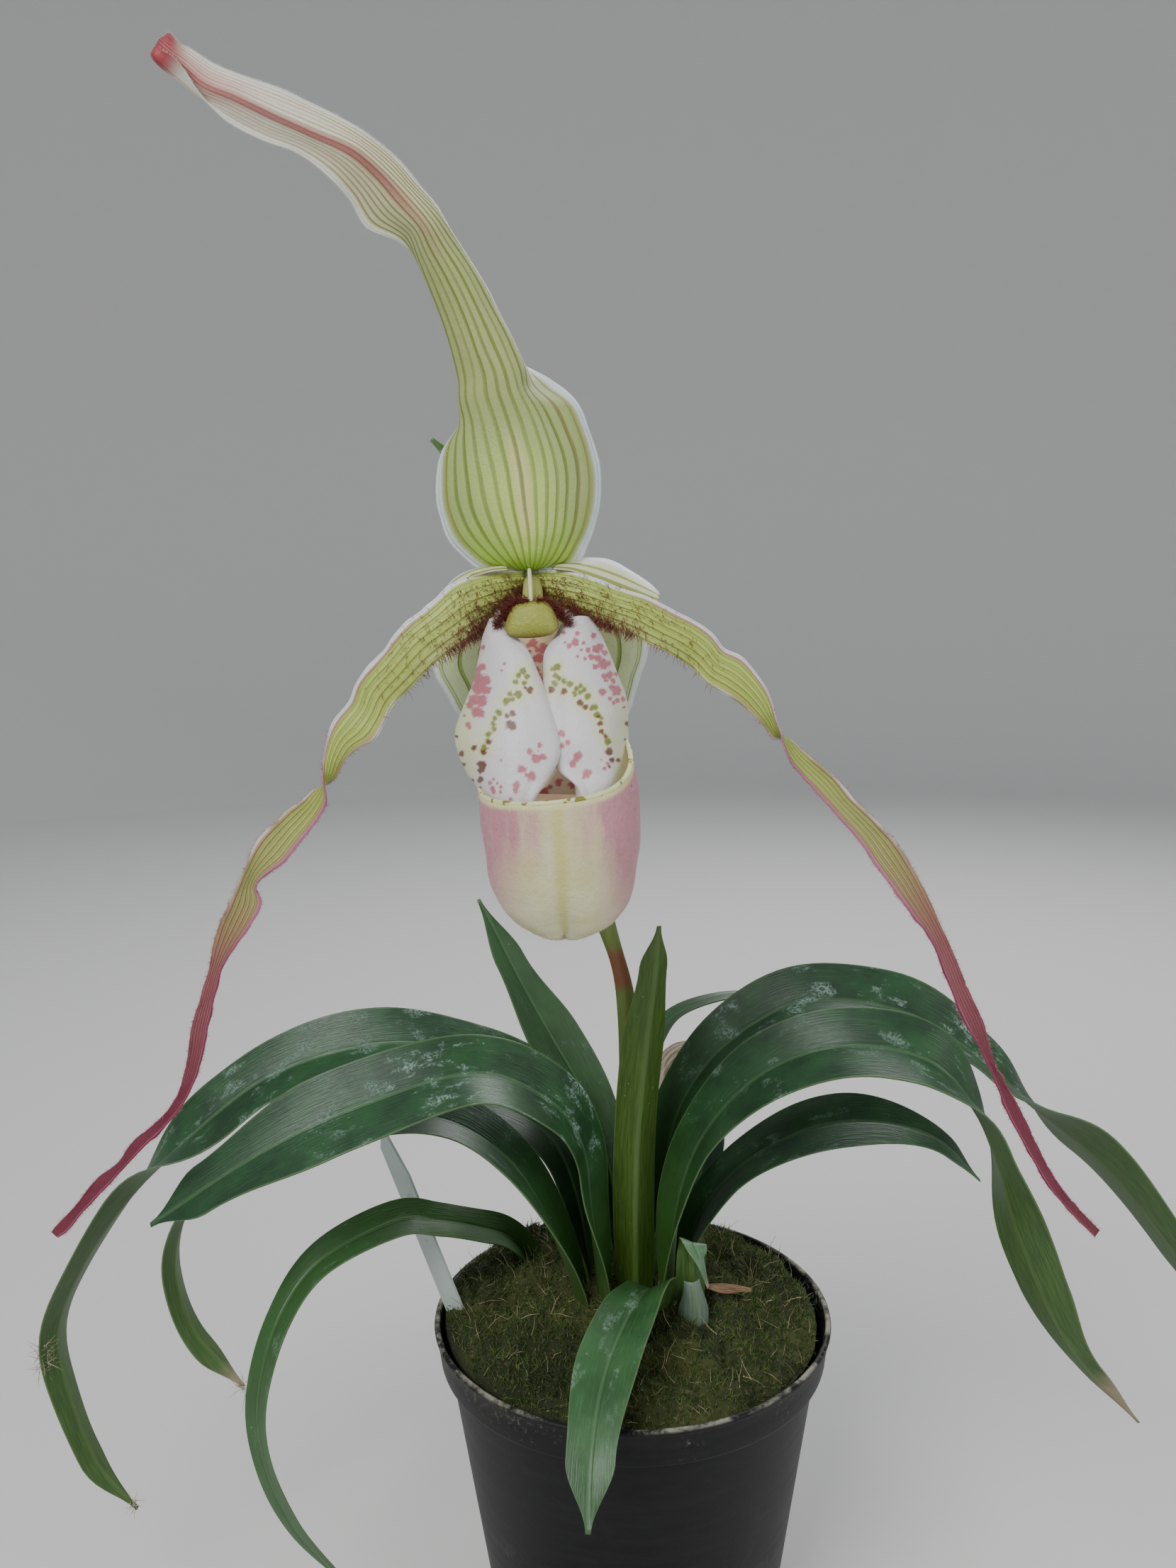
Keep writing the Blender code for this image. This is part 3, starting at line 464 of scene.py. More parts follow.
def moss_finish(name, dark, light):
    sprig = Finish(name, Roughness=0.7)
    here = sprig.where()
    shade = sprig.speckle(here, 60.0, 4.0) * 0.6 + sprig.speckle(here, 1200.0, 1.0) * 0.4
    sprig.wear(Base_Color=sprig.mix(shade.within(0.36, 0.62), dark, light))
    return sprig.material


for name, count, seed, length, thickness, low, material in (
    ("moss_sprigs", 13800, 61, 0.0021, 0.00042, 0.0,
     moss_finish("moss_green", (0.011, 0.028, 0.003), (0.062, 0.120, 0.013))),
    ("moss_tips", 5200, 62, 0.0023, 0.00030, 0.2,
     moss_finish("moss_tan", (0.055, 0.085, 0.012), (0.20, 0.21, 0.07))),
    ("moss_straw", 420, 63, 0.0060, 0.00030, 0.5,
     moss_finish("moss_straw", (0.22, 0.17, 0.08), (0.42, 0.37, 0.22))),
):
    dice = np.random.default_rng(seed)
    turn_to, reach = dice.random(count) * 2 * np.pi, np.sqrt(dice.random(count))
    places = [(a, (moss_edge(a) - 0.4) * r) for a, r in zip(turn_to, reach)]
    places = [(r * math.cos(a), r * math.sin(a)) for a, r in places]
    spots = np.array([(x, y, moss_top(x, y) - 0.25 + low) for x, y in places])
    leans = dice.normal(0, 0.55 if low < 0.5 else 1.6, (count, 3)) + [0, 0, 1.0 if low < 0.5 else 0.15]
    leans[:, 2] = np.abs(leans[:, 2])
    bristles(name, "moss_cushion", spots, leans, length, thickness, 0.35, 0.6, seed, material)


# ---- Leaves: thick glossy straps in two fans, keeled at the base, with a pale midrib, a paler
# underside and fine lengthwise veins. Hard water has dried white on the ones that arch highest, and
# the same pale bluish-grey patches on the arch of every leaf also stand in for a painted sheen.

def smooth_path(waypoints, count):
    """Points evenly spaced along a Catmull-Rom curve through the waypoints."""
    points = np.array(waypoints, float)
    ends = np.vstack([2 * points[0] - points[1], points, 2 * points[-1] - points[-2]])
    t = np.arange(24)[:, None] / 24
    dense = [
        b + (c - a) * t / 2 + (2 * a - 5 * b + 4 * c - d) * t**2 / 2 + (3 * b - a - 3 * c + d) * t**3 / 2
        for a, b, c, d in zip(ends, ends[1:], ends[2:], ends[3:])
    ]
    dense = np.vstack(dense + [points[-1:]])
    lengths = np.r_[0, np.cumsum(np.linalg.norm(np.diff(dense, axis=0), axis=1))]
    wanted = np.linspace(0, lengths[-1], count)
    return np.stack([np.interp(wanted, lengths, dense[:, axis]) for axis in range(3)], 1)


def blend(hints, shares):
    """Values at these shares of the length, eased between hints given as (share, value)."""
    marks = np.array([share for share, _ in hints], float)
    values = np.array([value for _, value in hints], float)
    index = np.clip(np.searchsorted(marks, shares, side="left") - 1, 0, len(marks) - 2)
    step = np.clip((shares - marks[index]) / (marks[index + 1] - marks[index]), 0, 1)
    step = step * step * (3 - 2 * step)
    if values.ndim > 1:
        step = step[:, None]
    return values[index] + (values[index + 1] - values[index]) * step


def unit(vectors):
    return vectors / (np.linalg.norm(vectors, axis=-1, keepdims=True) + 1e-12)


def ribbon(path, face, width, fold, curl, wave, stations, columns):
    """A grid of points of a blade: keeled by fold, cupped by curl, with a waved margin."""
    points = smooth_path(path, stations)
    shares = np.linspace(0, 1, stations)
    tangents = unit(np.gradient(points, axis=0))
    facing = blend(face, shares)
    facing = unit(facing - tangents * (facing * tangents).sum(1, keepdims=True))
    side = np.cross(tangents, facing)
    half = blend(width, shares) / 2
    keel, cup = np.radians(blend(fold, shares)), np.radians(blend(curl, shares))
    height, turns, phase = wave
    fade = np.sin(np.pi * np.minimum(shares * 1.1, 1.0))
    fine = np.linspace(0, 1, 41)
    angles = keel[:, None] + cup[:, None] * (fine[1:] - 0.0125)[None]
    reach = np.c_[np.zeros(stations), np.cumsum(half[:, None] / 40 * np.cos(angles), 1)]
    rise = np.c_[np.zeros(stations), np.cumsum(half[:, None] / 40 * np.sin(angles), 1)]
    grid = np.empty((stations, len(columns), 3))
    for index, column in enumerate(columns):
        hand, far = (1 if column >= 0 else -1), abs(column)
        out = np.array([np.interp(far, fine, row) for row in reach])
        up = np.array([np.interp(far, fine, row) for row in rise])
        up = up + height * fade * far**2 * np.sin(2 * np.pi * turns * shares + phase * hand)
        grid[:, index] = points + side * (out * hand)[:, None] + facing * up[:, None]
    return grid, shares, half


def grid_normals(grid):
    return unit(np.cross(np.gradient(grid, axis=1), np.gradient(grid, axis=0)))


def solid(name, points, faces, material):
    """A smooth mesh of points in millimetres whose faces all look outwards."""
    mesh = bpy.data.meshes.new(name)
    mesh.from_pydata((points / 1000).tolist(), [], faces)
    shape = bmesh.new()
    shape.from_mesh(mesh)
    bmesh.ops.recalc_face_normals(shape, faces=shape.faces)
    shape.to_mesh(mesh)
    shape.free()
    mesh.polygons.foreach_set("use_smooth", [True] * len(mesh.polygons))
    mesh.materials.append(material)
    return mesh


def skin(name, grid, thick, values, material, closed=False):
    """A closed thin solid over a grid of points in millimetres, with its values as attributes.

    closed joins the last column to the first and fills the first row, as in a cup.
    """
    rows, across = grid.shape[:2]
    normals = grid_normals(grid)
    if closed:
        padded = np.concatenate([grid[:, -2:], grid, grid[:, :2]], 1)
        normals = grid_normals(padded)[:, 2:-2]
    upper = grid + normals * thick[..., None] / 2
    lower = grid - normals * thick[..., None] / 2
    points = np.concatenate([upper.reshape(-1, 3), lower.reshape(-1, 3)])
    ids = np.arange(rows * across).reshape(rows, across)
    shift = rows * across
    here = ids if closed else ids[:, :-1]
    there = np.roll(ids, -1, 1) if closed else ids[:, 1:]
    quads = np.stack([here[:-1].ravel(), there[:-1].ravel(), there[1:].ravel(), here[1:].ravel()], 1)
    faces = quads.tolist() + (quads[:, ::-1] + shift).tolist()
    if closed:
        top = np.r_[ids[-1], ids[-1, :1]]
        faces += [[p, q, q + shift, p + shift] for p, q in zip(top[:-1], top[1:])]
        faces += [ids[0, ::-1].tolist(), (ids[0] + shift).tolist()]
    else:
        rim = np.concatenate([ids[0, ::-1], ids[1:, 0], ids[-1, 1:], ids[-2::-1, -1]])
        faces += [[p, q, q + shift, p + shift] for p, q in zip(rim[:-1], rim[1:])]
    mesh = solid(name, points, faces, material)
    values = dict(values, upper=np.ones((rows, across)))
    for key, amount in values.items():
        amount = np.broadcast_to(amount, (rows, across)).ravel()
        both = np.r_[amount, amount * (key != "upper")]
        mesh.attributes.new(key, "FLOAT", "POINT").data.foreach_set("value", both.astype(np.float32))
    return link(name, mesh)


def blade(name, path, face, width, material, fold=((0, 34), (0.35, 17), (1, 8)), curl=((0, 0), (1, 0)),
          wave=(0.0, 0, 0), stations=72, across=13, thick=(0.95, 0.35)):
    """A finished blade that stands for the node of its name."""
    inner = np.linspace(-0.94, 0.94, across)
    columns = np.r_[-1.0, -0.985, inner, 0.985, 1.0]
    grid, shares, half = ribbon(path, face, width, fold, curl, wave, stations, columns)
    far = np.abs(columns)[None, :]
    depth = (thick[0] + (thick[1] - thick[0]) * far**2) * np.minimum(1, 0.35 + 8 * (1 - shares))[:, None]
    run = np.r_[0, np.cumsum(np.linalg.norm(np.diff(smooth_path(path, stations), axis=0), axis=1))]
    values = {
        "across": columns[None, :], "along": shares[:, None],
        "reach": columns[None, :] * half[:, None], "run": run[:, None],
    }
    made = skin(name + "_blade", grid, depth, values, material)
    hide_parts(name)
    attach(made, "root")


def leaf_finish(name, seed, chalky=0.0, fresh=0.0, dry=1.2,
                top=((0.007, 0.035, 0.011), (0.017, 0.074, 0.021)),
                below=((0.030, 0.078, 0.014), (0.062, 0.125, 0.026))):
    """Leaf skin: dark and glossy above, paler below; chalky adds hard-water marks, dry a dead tip. Every
    leaf also has a mild share of those pale patches on the arch of its upper face, where they also paint a
    sheen.
    """
    leaf = Finish(name, Roughness=0.4)
    across, along, reach, run = (leaf.read(key) for key in ("across", "along", "reach", "run"))
    upper = leaf.read("upper").within(0.4, 0.6)
    spread = leaf.node("ShaderNodeCombineXYZ", {0: reach, 1: run * 0.05, 2: seed * 7.3})
    patch = leaf.node("ShaderNodeCombineXYZ", {0: reach, 1: run, 2: seed * 3.1})
    veins = leaf.speckle(spread, 2.6, 3.0, 0.6)
    cloud = leaf.speckle(patch, 0.09, 4.0, 0.6)
    middle = 1 - reach.math("ABSOLUTE").within(0.25, 0.9)
    far = across.math("ABSOLUTE")
    face = leaf.mix(cloud.within(0.3, 0.7), top[0], top[1])
    face = leaf.mix(veins.within(0.5, 0.8) * 0.30, face, tuple(2.0 * part for part in top[1]))
    face = leaf.mix(middle * 0.40, face, (0.085, 0.17, 0.075))
    face = leaf.mix((1 - along.within(0.04, 0.36)) * 0.8, face, (0.036, 0.092, 0.013))
    back = leaf.mix(veins.within(0.35, 0.7), below[0], below[1])
    back = leaf.mix(middle * 0.45, back, (0.10, 0.17, 0.045))
    colour = leaf.mix(upper, back, face)
    colour = leaf.mix(far.within(0.94, 0.995) * 0.45, colour, (0.12, 0.20, 0.08))
    if fresh:
        colour = leaf.mix(fresh, colour, (0.045, 0.125, 0.020))
    islands = leaf.speckle(leaf.scaled(patch, (0.22, 0.10, 1.0)), 1.0, 5.0, 0.66)
    grit = leaf.speckle(patch, 1.6, 5.0, 0.7)
    # Pale bluish-grey patches on the arch of the upper face: partly hard-water marks, partly a painted
    # sheen; every leaf has a mild share, chalky leaves more, and dried drops join them.
    crust_and_sheen = (
        islands.within(0.565 - 0.045 * chalky, 0.66) * grit.within(0.40, 0.60)
        * along.within(0.22, 0.36)
    )
    crust_and_sheen = crust_and_sheen * (1 - along.within(0.60, 0.85)) * upper * (0.20 + 0.55 * chalky)
    dots = leaf.node("ShaderNodeTexVoronoi", {"Vector": patch, "Scale": 0.42})
    drops = (1 - dots.within(0.05, 0.12)) * cloud.within(0.52, 0.62) * 0.45
    crust_and_sheen = crust_and_sheen.math("MAXIMUM", drops)
    colour = leaf.mix(crust_and_sheen, colour, (0.29, 0.41, 0.36))
    tip = (along + (cloud - 0.5) * 0.08).within(dry - 0.02, dry + 0.02)
    colour = leaf.mix(tip, colour, (0.27, 0.23, 0.15))
    leaf.wear(Base_Color=colour,
              Roughness=crust_and_sheen * 0.4 + tip * 0.4 + veins * 0.10 + (1 - upper) * 0.12 + 0.34)
    leaf.raise_by(veins * 0.5 + crust_and_sheen * 0.2 - middle * 0.8 * upper, 0.00035, 0.7)
    return leaf.material


blade(
    "leaf_left_upright",
    [(-4.4, 4.6, 88), (-4.2, 5.4, 106), (-5.2, 8, 128), (-11, 11, 148), (-21, 14, 166), (-30, 18, 182),
     (-40, 22, 202)],
    ((0, (1, -0.2, 0)), (0.4, (0.6, -0.8, 0.2)), (1, (0.7, -0.7, 0.3))),
    ((0, 9), (0.35, 14), (0.65, 17), (0.85, 10), (1, 1.2)),
    leaf_finish("upright_leaf", 1.0, fresh=0.25),
)
blade(
    "leaf_left_far",
    [(-5, 14, 88), (-6, 15.5, 106), (-10, 18.5, 130), (-22, 22, 146), (-40, 24, 156), (-67, 25, 160),
     (-99, 23, 152), (-124, 18, 134), (-138, 13, 121), (-150, 8, 104), (-156, 4, 88), (-153, 1, 71),
     (-146, 0, 51), (-136, 0, 38)],
    ((0, (1, -0.1, 0)), (0.3, (0.4, -0.5, 1)), (0.55, (-0.3, -0.7, 0.9)), (0.68, (-0.9, 0.2, 0.4)),
     (1, (-1, 0.2, 0))),
    ((0, 9), (0.2, 17), (0.4, 23), (0.58, 21), (0.76, 15), (0.93, 9), (1, 1.2)),
    leaf_finish("far_leaf", 2.0, chalky=0.5),
    wave=(0.8, 5, 0.6), stations=110,
)
blade(
    "leaf_left_middle",
    [(-11, 3, 88), (-12, 3, 106), (-15, 3, 126), (-21, 3, 141), (-32, 4, 149), (-46, 6, 151),
     (-57, 8, 149), (-66, 10, 146)],
    ((0, (1, -0.2, 0)), (0.45, (0.5, -0.6, 1)), (1, (-0.2, -0.5, 1))),
    ((0, 8), (0.3, 13), (0.6, 18), (0.85, 14), (1, 1.2)),
    leaf_finish("middle_leaf", 3.0, top=((0.007, 0.026, 0.008), (0.014, 0.048, 0.014))),
)
blade(
    "leaf_left_front",
    [(-8.8, -6, 88), (-8.8, -8, 106), (-10.9, -10.5, 128), (-13, -14, 147), (-21, -20, 161),
     (-38, -28, 171), (-64, -35, 166), (-86, -39, 157), (-112, -41, 141)],
    ((0, (1, 0.1, 0)), (0.3, (0.8, -0.5, 0.7)), (0.55, (0, -0.7, 1)), (1, (-0.3, -0.75, 0.8))),
    ((0, 10), (0.25, 16), (0.5, 21), (0.75, 23), (0.92, 13), (1, 1.2)),
    leaf_finish("front_left_leaf", 4.0, chalky=1.0),
    wave=(0.6, 3, 1.2), stations=90,
)
blade(
    "leaf_left_lower",
    [(-14, -6, 88), (-15, -8, 104), (-21, -12, 124), (-31, -15, 143), (-46, -13, 153), (-66, -10, 153),
     (-92, -8, 145), (-110, -8, 134), (-117, -9, 122), (-118, -10, 110), (-113, -12, 96),
     (-101, -13, 82)],
    ((0, (1, 0.1, 0)), (0.3, (0.8, -0.35, 0.8)), (0.6, (-0.3, -0.5, 1)), (0.8, (-1, 0.1, 0.2)),
     (1, (-0.7, 0.3, -0.7))),
    ((0, 10), (0.25, 17), (0.55, 19), (0.8, 11), (0.93, 8), (1, 1.2)),
    leaf_finish("lower_left_leaf", 5.0, chalky=0.2, dry=0.97),
    stations=100,
)
blade(
    "leaf_low",
    [(-26, 19, 88), (-29, 17, 101), (-34, 9, 111), (-41, 0, 118), (-50, -8, 124), (-60, -14, 127),
     (-77, -24, 122), (-86, -32, 111), (-90, -38, 95), (-88, -42, 81), (-81, -46, 68), (-71, -48, 57),
     (-64, -49, 49)],
    ((0, (0.9, -0.6, 0)), (0.3, (0.2, -0.5, 1)), (0.6, (-0.7, -0.6, 0.4)), (1, (-0.7, -0.7, 0))),
    ((0, 8), (0.25, 11), (0.5, 11), (0.8, 8), (1, 1.2)),
    leaf_finish("low_leaf", 6.0, fresh=0.45),
    fold=((0, 40), (0.3, 14), (1, 8)), wave=(0.6, 3, 0.4), stations=100,
)
blade(
    "leaf_right_thin",
    [(2.5, 14, 88), (2.5, 15, 106), (3.5, 16.5, 136), (7, 17, 158), (14, 23, 168), (31, 27, 172),
     (44, 28, 168)],
    ((0, (-1, -0.3, 0)), (0.6, (-0.6, -0.1, 1)), (1, (0.2, 0.0, 1))),
    ((0, 8), (0.4, 9), (0.7, 9), (0.9, 6), (1, 1.2)),
    leaf_finish("thin_leaf", 7.0, fresh=0.2),
)
blade(
    "leaf_right_top",
    [(7, 5, 88), (7, 5.5, 108), (10, 7, 130), (15, 8, 149), (27, 8, 165), (46, 7, 176), (68, 5, 175),
     (86, 2, 166), (104, -2, 151), (124, -5, 134), (144, -8, 108), (153, -10, 90)],
    ((0, (-1, -0.1, 0)), (0.25, (-0.9, -0.6, 0.5)), (0.5, (0.1, -0.7, 1)), (0.62, (0.5, -0.3, 0.9)),
     (0.76, (0.9, 0.5, 0.4)), (1, (0.9, 0.4, 0.2))),
    ((0, 9), (0.25, 17), (0.45, 22), (0.7, 22), (0.9, 15), (1, 1.2)),
    leaf_finish("top_right_leaf", 8.0, chalky=1.0),
    wave=(0.7, 4, 0.3), stations=100,
)
blade(
    "leaf_right_broad",
    [(10.5, -6, 88), (10.5, -6.5, 106), (12.5, -8.5, 128), (19, -11.5, 148), (33, -15, 165),
     (51, -19, 173), (70, -22, 171), (82, -24, 160), (88, -27, 146), (94, -29, 126), (105, -31, 102),
     (122, -33, 82)],
    ((0, (-1, 0.1, 0)), (0.25, (-1, -0.5, 0.4)), (0.5, (0.1, -0.8, 1)), (0.66, (0.85, 0.1, 0.5)),
     (0.8, (0.75, 0.65, 0.1)), (1, (0.75, 0.6, 0.4))),
    ((0, 10), (0.25, 17), (0.5, 21), (0.68, 19), (0.82, 14.5), (0.93, 7), (1, 1.0)),
    leaf_finish("broad_right_leaf", 9.0, chalky=0.3, dry=0.94),
    wave=(0.6, 4, 1.0), stations=100,
)
blade(
    "leaf_right_lower",
    [(15, 3, 88), (15, 4, 104), (20, 7, 118), (31, 9, 130), (48, 8, 140), (65, 6, 143), (81, 4, 139),
     (93, 2, 128)],
    ((0, (-1, -0.1, 0)), (0.35, (-0.7, -0.6, 1)), (0.7, (0.2, -0.7, 1)), (1, (0.9, -0.3, 0.5))),
    ((0, 9), (0.3, 13), (0.65, 17), (0.9, 9), (1, 1.2)),
    leaf_finish("lower_right_leaf", 10.0, chalky=0.2),
)
blade(
    "leaf_back_short",
    [(10, 13, 88), (13, 14, 104), (19, 17, 118), (23, 21, 132), (23, 25, 146)],
    ((0, (-0.8, -0.7, 0)), (0.5, (-0.5, -0.8, 0.2)), (1, (-0.2, -1, 0.3))),
    ((0, 8), (0.4, 12), (0.75, 9), (1, 1.2)),
    leaf_finish("short_leaf", 11.0, top=((0.07, 0.13, 0.11), (0.11, 0.19, 0.15))),
)
blade(
    "leaf_front",
    [(3.5, -13.5, 88), (4.5, -14.5, 102), (5, -17, 109), (2, -25, 112), (-3, -36, 111), (-8, -50, 107),
     (-11, -63, 99), (-12, -74, 87)],
    ((0, (0.1, 1, 0)), (0.25, (0.1, 0.9, 0.5)), (0.5, (0.1, -0.1, 1)), (1, (0, -0.6, 1))),
    ((0, 9), (0.3, 14), (0.6, 15), (0.85, 11), (1, 1.2)),
    leaf_finish("front_leaf", 12.0, chalky=0.4, top=((0.020, 0.070, 0.018), (0.038, 0.115, 0.034))),
    fold=((0, 40), (0.3, 20), (1, 8)), stations=90,
)
blade(
    "shoot_leaf",
    [(15, -12, 88), (15, -12.5, 104), (15, -14, 116), (15, -16, 121), (16, -19.5, 119), (18.5, -21, 112)],
    ((0, (-0.1, 1, 0)), (0.5, (-0.2, 1, 0.4)), (0.75, (0.3, 0.2, 1)), (1, (0.9, -0.4, 0.6))),
    ((0, 6), (0.5, 8), (0.8, 7), (1, 1.2)),
    leaf_finish("shoot_leaf", 13.0, dry=0.95, top=((0.06, 0.14, 0.07), (0.10, 0.20, 0.10))),
)
blade(
    "shoot_sheath",
    [(15.5, -16.5, 90), (15.5, -16.8, 104), (15, -16.6, 111)],
    ((0, (-0.1, 1, 0)), (1, (-0.1, 1, 0))),
    ((0, 9), (0.5, 10), (1, 5)),
    leaf_finish("shoot_sheath", 14.0, top=((0.12, 0.17, 0.13), (0.18, 0.24, 0.18)),
                below=((0.11, 0.17, 0.13), (0.18, 0.24, 0.18))),
    fold=((0, 10), (1, 14)), curl=((0, 50), (1, 45)), stations=30,
)


# ---- Flower stem, ovary and bracts: a downy green stem with a brown-red joint, held by a keeled
# bract as long as a small leaf; the ovary bends forward to the flower out of a short bract.

def tube(name, node, path, radii, material, sides=28, stations=90):
    """A round stalk along a path, its radius eased between the hints, that stands for a node."""
    points = smooth_path(path, stations)
    shares = np.linspace(0, 1, stations)
    tangents = unit(np.gradient(points, axis=0))
    facing = np.array([0.0, -1.0, 0.02]) - tangents * (tangents @ np.array([0.0, -1.0, 0.02]))[:, None]
    facing = unit(facing)
    side = np.cross(tangents, facing)
    radius = blend(radii, shares)
    angles = 2 * np.pi * np.arange(sides) / sides
    ring = side[:, None] * np.cos(angles)[None, :, None] + facing[:, None] * np.sin(angles)[None, :, None]
    cloud = (points[:, None] + ring * radius[:, None, None]).reshape(-1, 3)
    ids = np.arange(stations * sides).reshape(stations, sides)
    rolled = np.roll(ids, -1, 1)
    faces = np.stack([ids[:-1], rolled[:-1], rolled[1:], ids[1:]], -1).reshape(-1, 4).tolist()
    faces += [ids[0, ::-1].tolist(), ids[-1].tolist()]
    made = link(name, solid(name, cloud, faces, material))
    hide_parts(node)
    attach(made, "root")


stalk = Finish("downy_stem", Roughness=0.55)
height = stalk.node("ShaderNodeSeparateXYZ", {0: stalk.where()}, output="Z")
streak = stalk.speckle(stalk.scaled(stalk.where(), (900.0, 900.0, 60.0)), 1.0, 3.0)
green = stalk.mix(streak, (0.085, 0.13, 0.022), (0.16, 0.21, 0.05))
joint = height.within(0.184, 0.1885) * (1 - height.within(0.1945, 0.199))
stalk.wear(Base_Color=stalk.mix(joint * 0.9, green, (0.20, 0.065, 0.030)))
stalk.raise_by(streak, 0.0002)
tube(
    "stem_skin", "flower_stem",
    [(1, 0.6, 88), (1, 0.6, 120), (0, -2, 155), (-1, -8, 184), (-6, -13, 205), (-12, -18, 228),
     (-18, -21, 252), (-24, -22, 272), (-25, -22, 286)],
    ((0, 2.7), (0.45, 2.45), (0.53, 1.95), (0.60, 2.45), (0.8, 2.3), (1, 2.1)), stalk.material,
)
tube(
    "ovary_skin", "ovary",
    [(-25.0, -22.4, 287.0), (-25.4, -25, 296), (-24.4, -31, 301.5), (-22.6, -38, 299),
     (-21.2, -44.2, 292.6), (-20.5, -48.8, 288.4), (-20.3, -51.4, 286.6)],
    ((0, 2.2), (0.35, 3.0), (0.65, 3.0), (0.85, 2.5), (1, 2.0)), stalk.material, stations=60,
)
blade(
    "stem_bract",
    [(1, -6, 88), (1, -6, 106), (1, -8, 128), (2, -10, 150), (4, -14, 172), (6, -19, 192), (7, -22, 205)],
    ((0, (0, 1, 0)), (1, (-0.35, 1, 0.2))),
    ((0, 10), (0.25, 13), (0.7, 13), (0.9, 8), (1, 1.2)),
    leaf_finish("stem_bract", 15.0, top=((0.036, 0.085, 0.010), (0.060, 0.120, 0.018)),
                below=((0.034, 0.078, 0.007), (0.066, 0.122, 0.014))),
    fold=((0, 36), (0.5, 34), (1, 24)),
)
blade(
    "floral_bract",
    [(-22, -17.2, 276), (-24, -17.4, 288), (-27.5, -18.5, 299), (-35, -23, 310), (-43, -28, 318)],
    ((0, (0, -1, 0)), (0.6, (0, -1, 0)), (1, (0.3, -1, 0.3))),
    ((0, 9), (0.3, 13), (0.7, 9), (1, 1.2)),
    leaf_finish("floral_bract", 16.0, top=((0.05, 0.12, 0.02), (0.09, 0.18, 0.03))),
    fold=((0, 30), (1, 20)),
)


# ---- Dorsal sepal: a thin cupped bulb over the column that runs out into a long waved tail, pale
# green with olive veins and a white edge, and cream with a rose stripe towards its hooked tip.

def through(knots, values, at):
    """Values of a smooth curve through unevenly spaced knots, along the first axis."""
    knots, values = np.array(knots, float), np.array(values, float)
    slopes = np.gradient(values, knots, axis=0)
    index = np.clip(np.searchsorted(knots, at, side="right") - 1, 0, len(knots) - 2)
    width = (knots[index + 1] - knots[index]).reshape((-1,) + (1,) * (values.ndim - 1))
    t = (np.asarray(at) - knots[index]).reshape(width.shape) / width
    start, end = values[index], values[index + 1]
    lift = (t**3 - 2 * t**2 + t) * slopes[index] + (t**3 - t**2) * slopes[index + 1]
    return start + (3 * t**2 - 2 * t**3) * (end - start) + lift * width


def draped(cage, knots, stations, columns):
    """A fine grid through rows of control points; knots are where their columns lie across."""
    cage = np.array(cage, float)
    middle = cage.mean(1)
    lengths = np.r_[0, np.cumsum(np.linalg.norm(np.diff(middle, axis=0), axis=1))]
    at = np.linspace(0, lengths[-1], stations)
    along = through(lengths, cage, at)
    grid = through(knots, along.transpose(1, 0, 2), columns).transpose(1, 0, 2)
    return grid, at / lengths[-1], at


def ripple(grid, amount, scale, seed, share=2.0):
    """Small uneven waves along a margin, in millimetres."""
    far = np.abs(np.linspace(-1, 1, grid.shape[1])) ** share
    normals = grid_normals(grid)
    waves = np.array([[noise.noise(Vector(point) / scale + Vector((seed, 0, 0))) for point in row]
                      for row in grid])
    return grid + normals * (waves * far[None, :] * amount)[..., None]


def petal_piece(name, node, cage, knots, stations, columns, thick, material, wave=(0.5, 4.0, 0.0)):
    """A thin flower part that stands for a node, from its cage; returns its middle grid."""
    grid, shares, run = draped(cage, knots, stations, columns)
    grid = ripple(grid, *wave)
    far = np.abs(columns)[None, :]
    ends = np.minimum(1, 0.4 + 12 * np.minimum(shares, 1 - shares))[:, None]
    depth = (thick[0] + (thick[1] - thick[0]) * far**2) * ends
    values = {"across": columns[None, :], "along": shares[:, None], "run": run[:, None]}
    made = skin(name, grid, depth, values, material)
    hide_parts(node)
    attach(made, "root")
    return grid


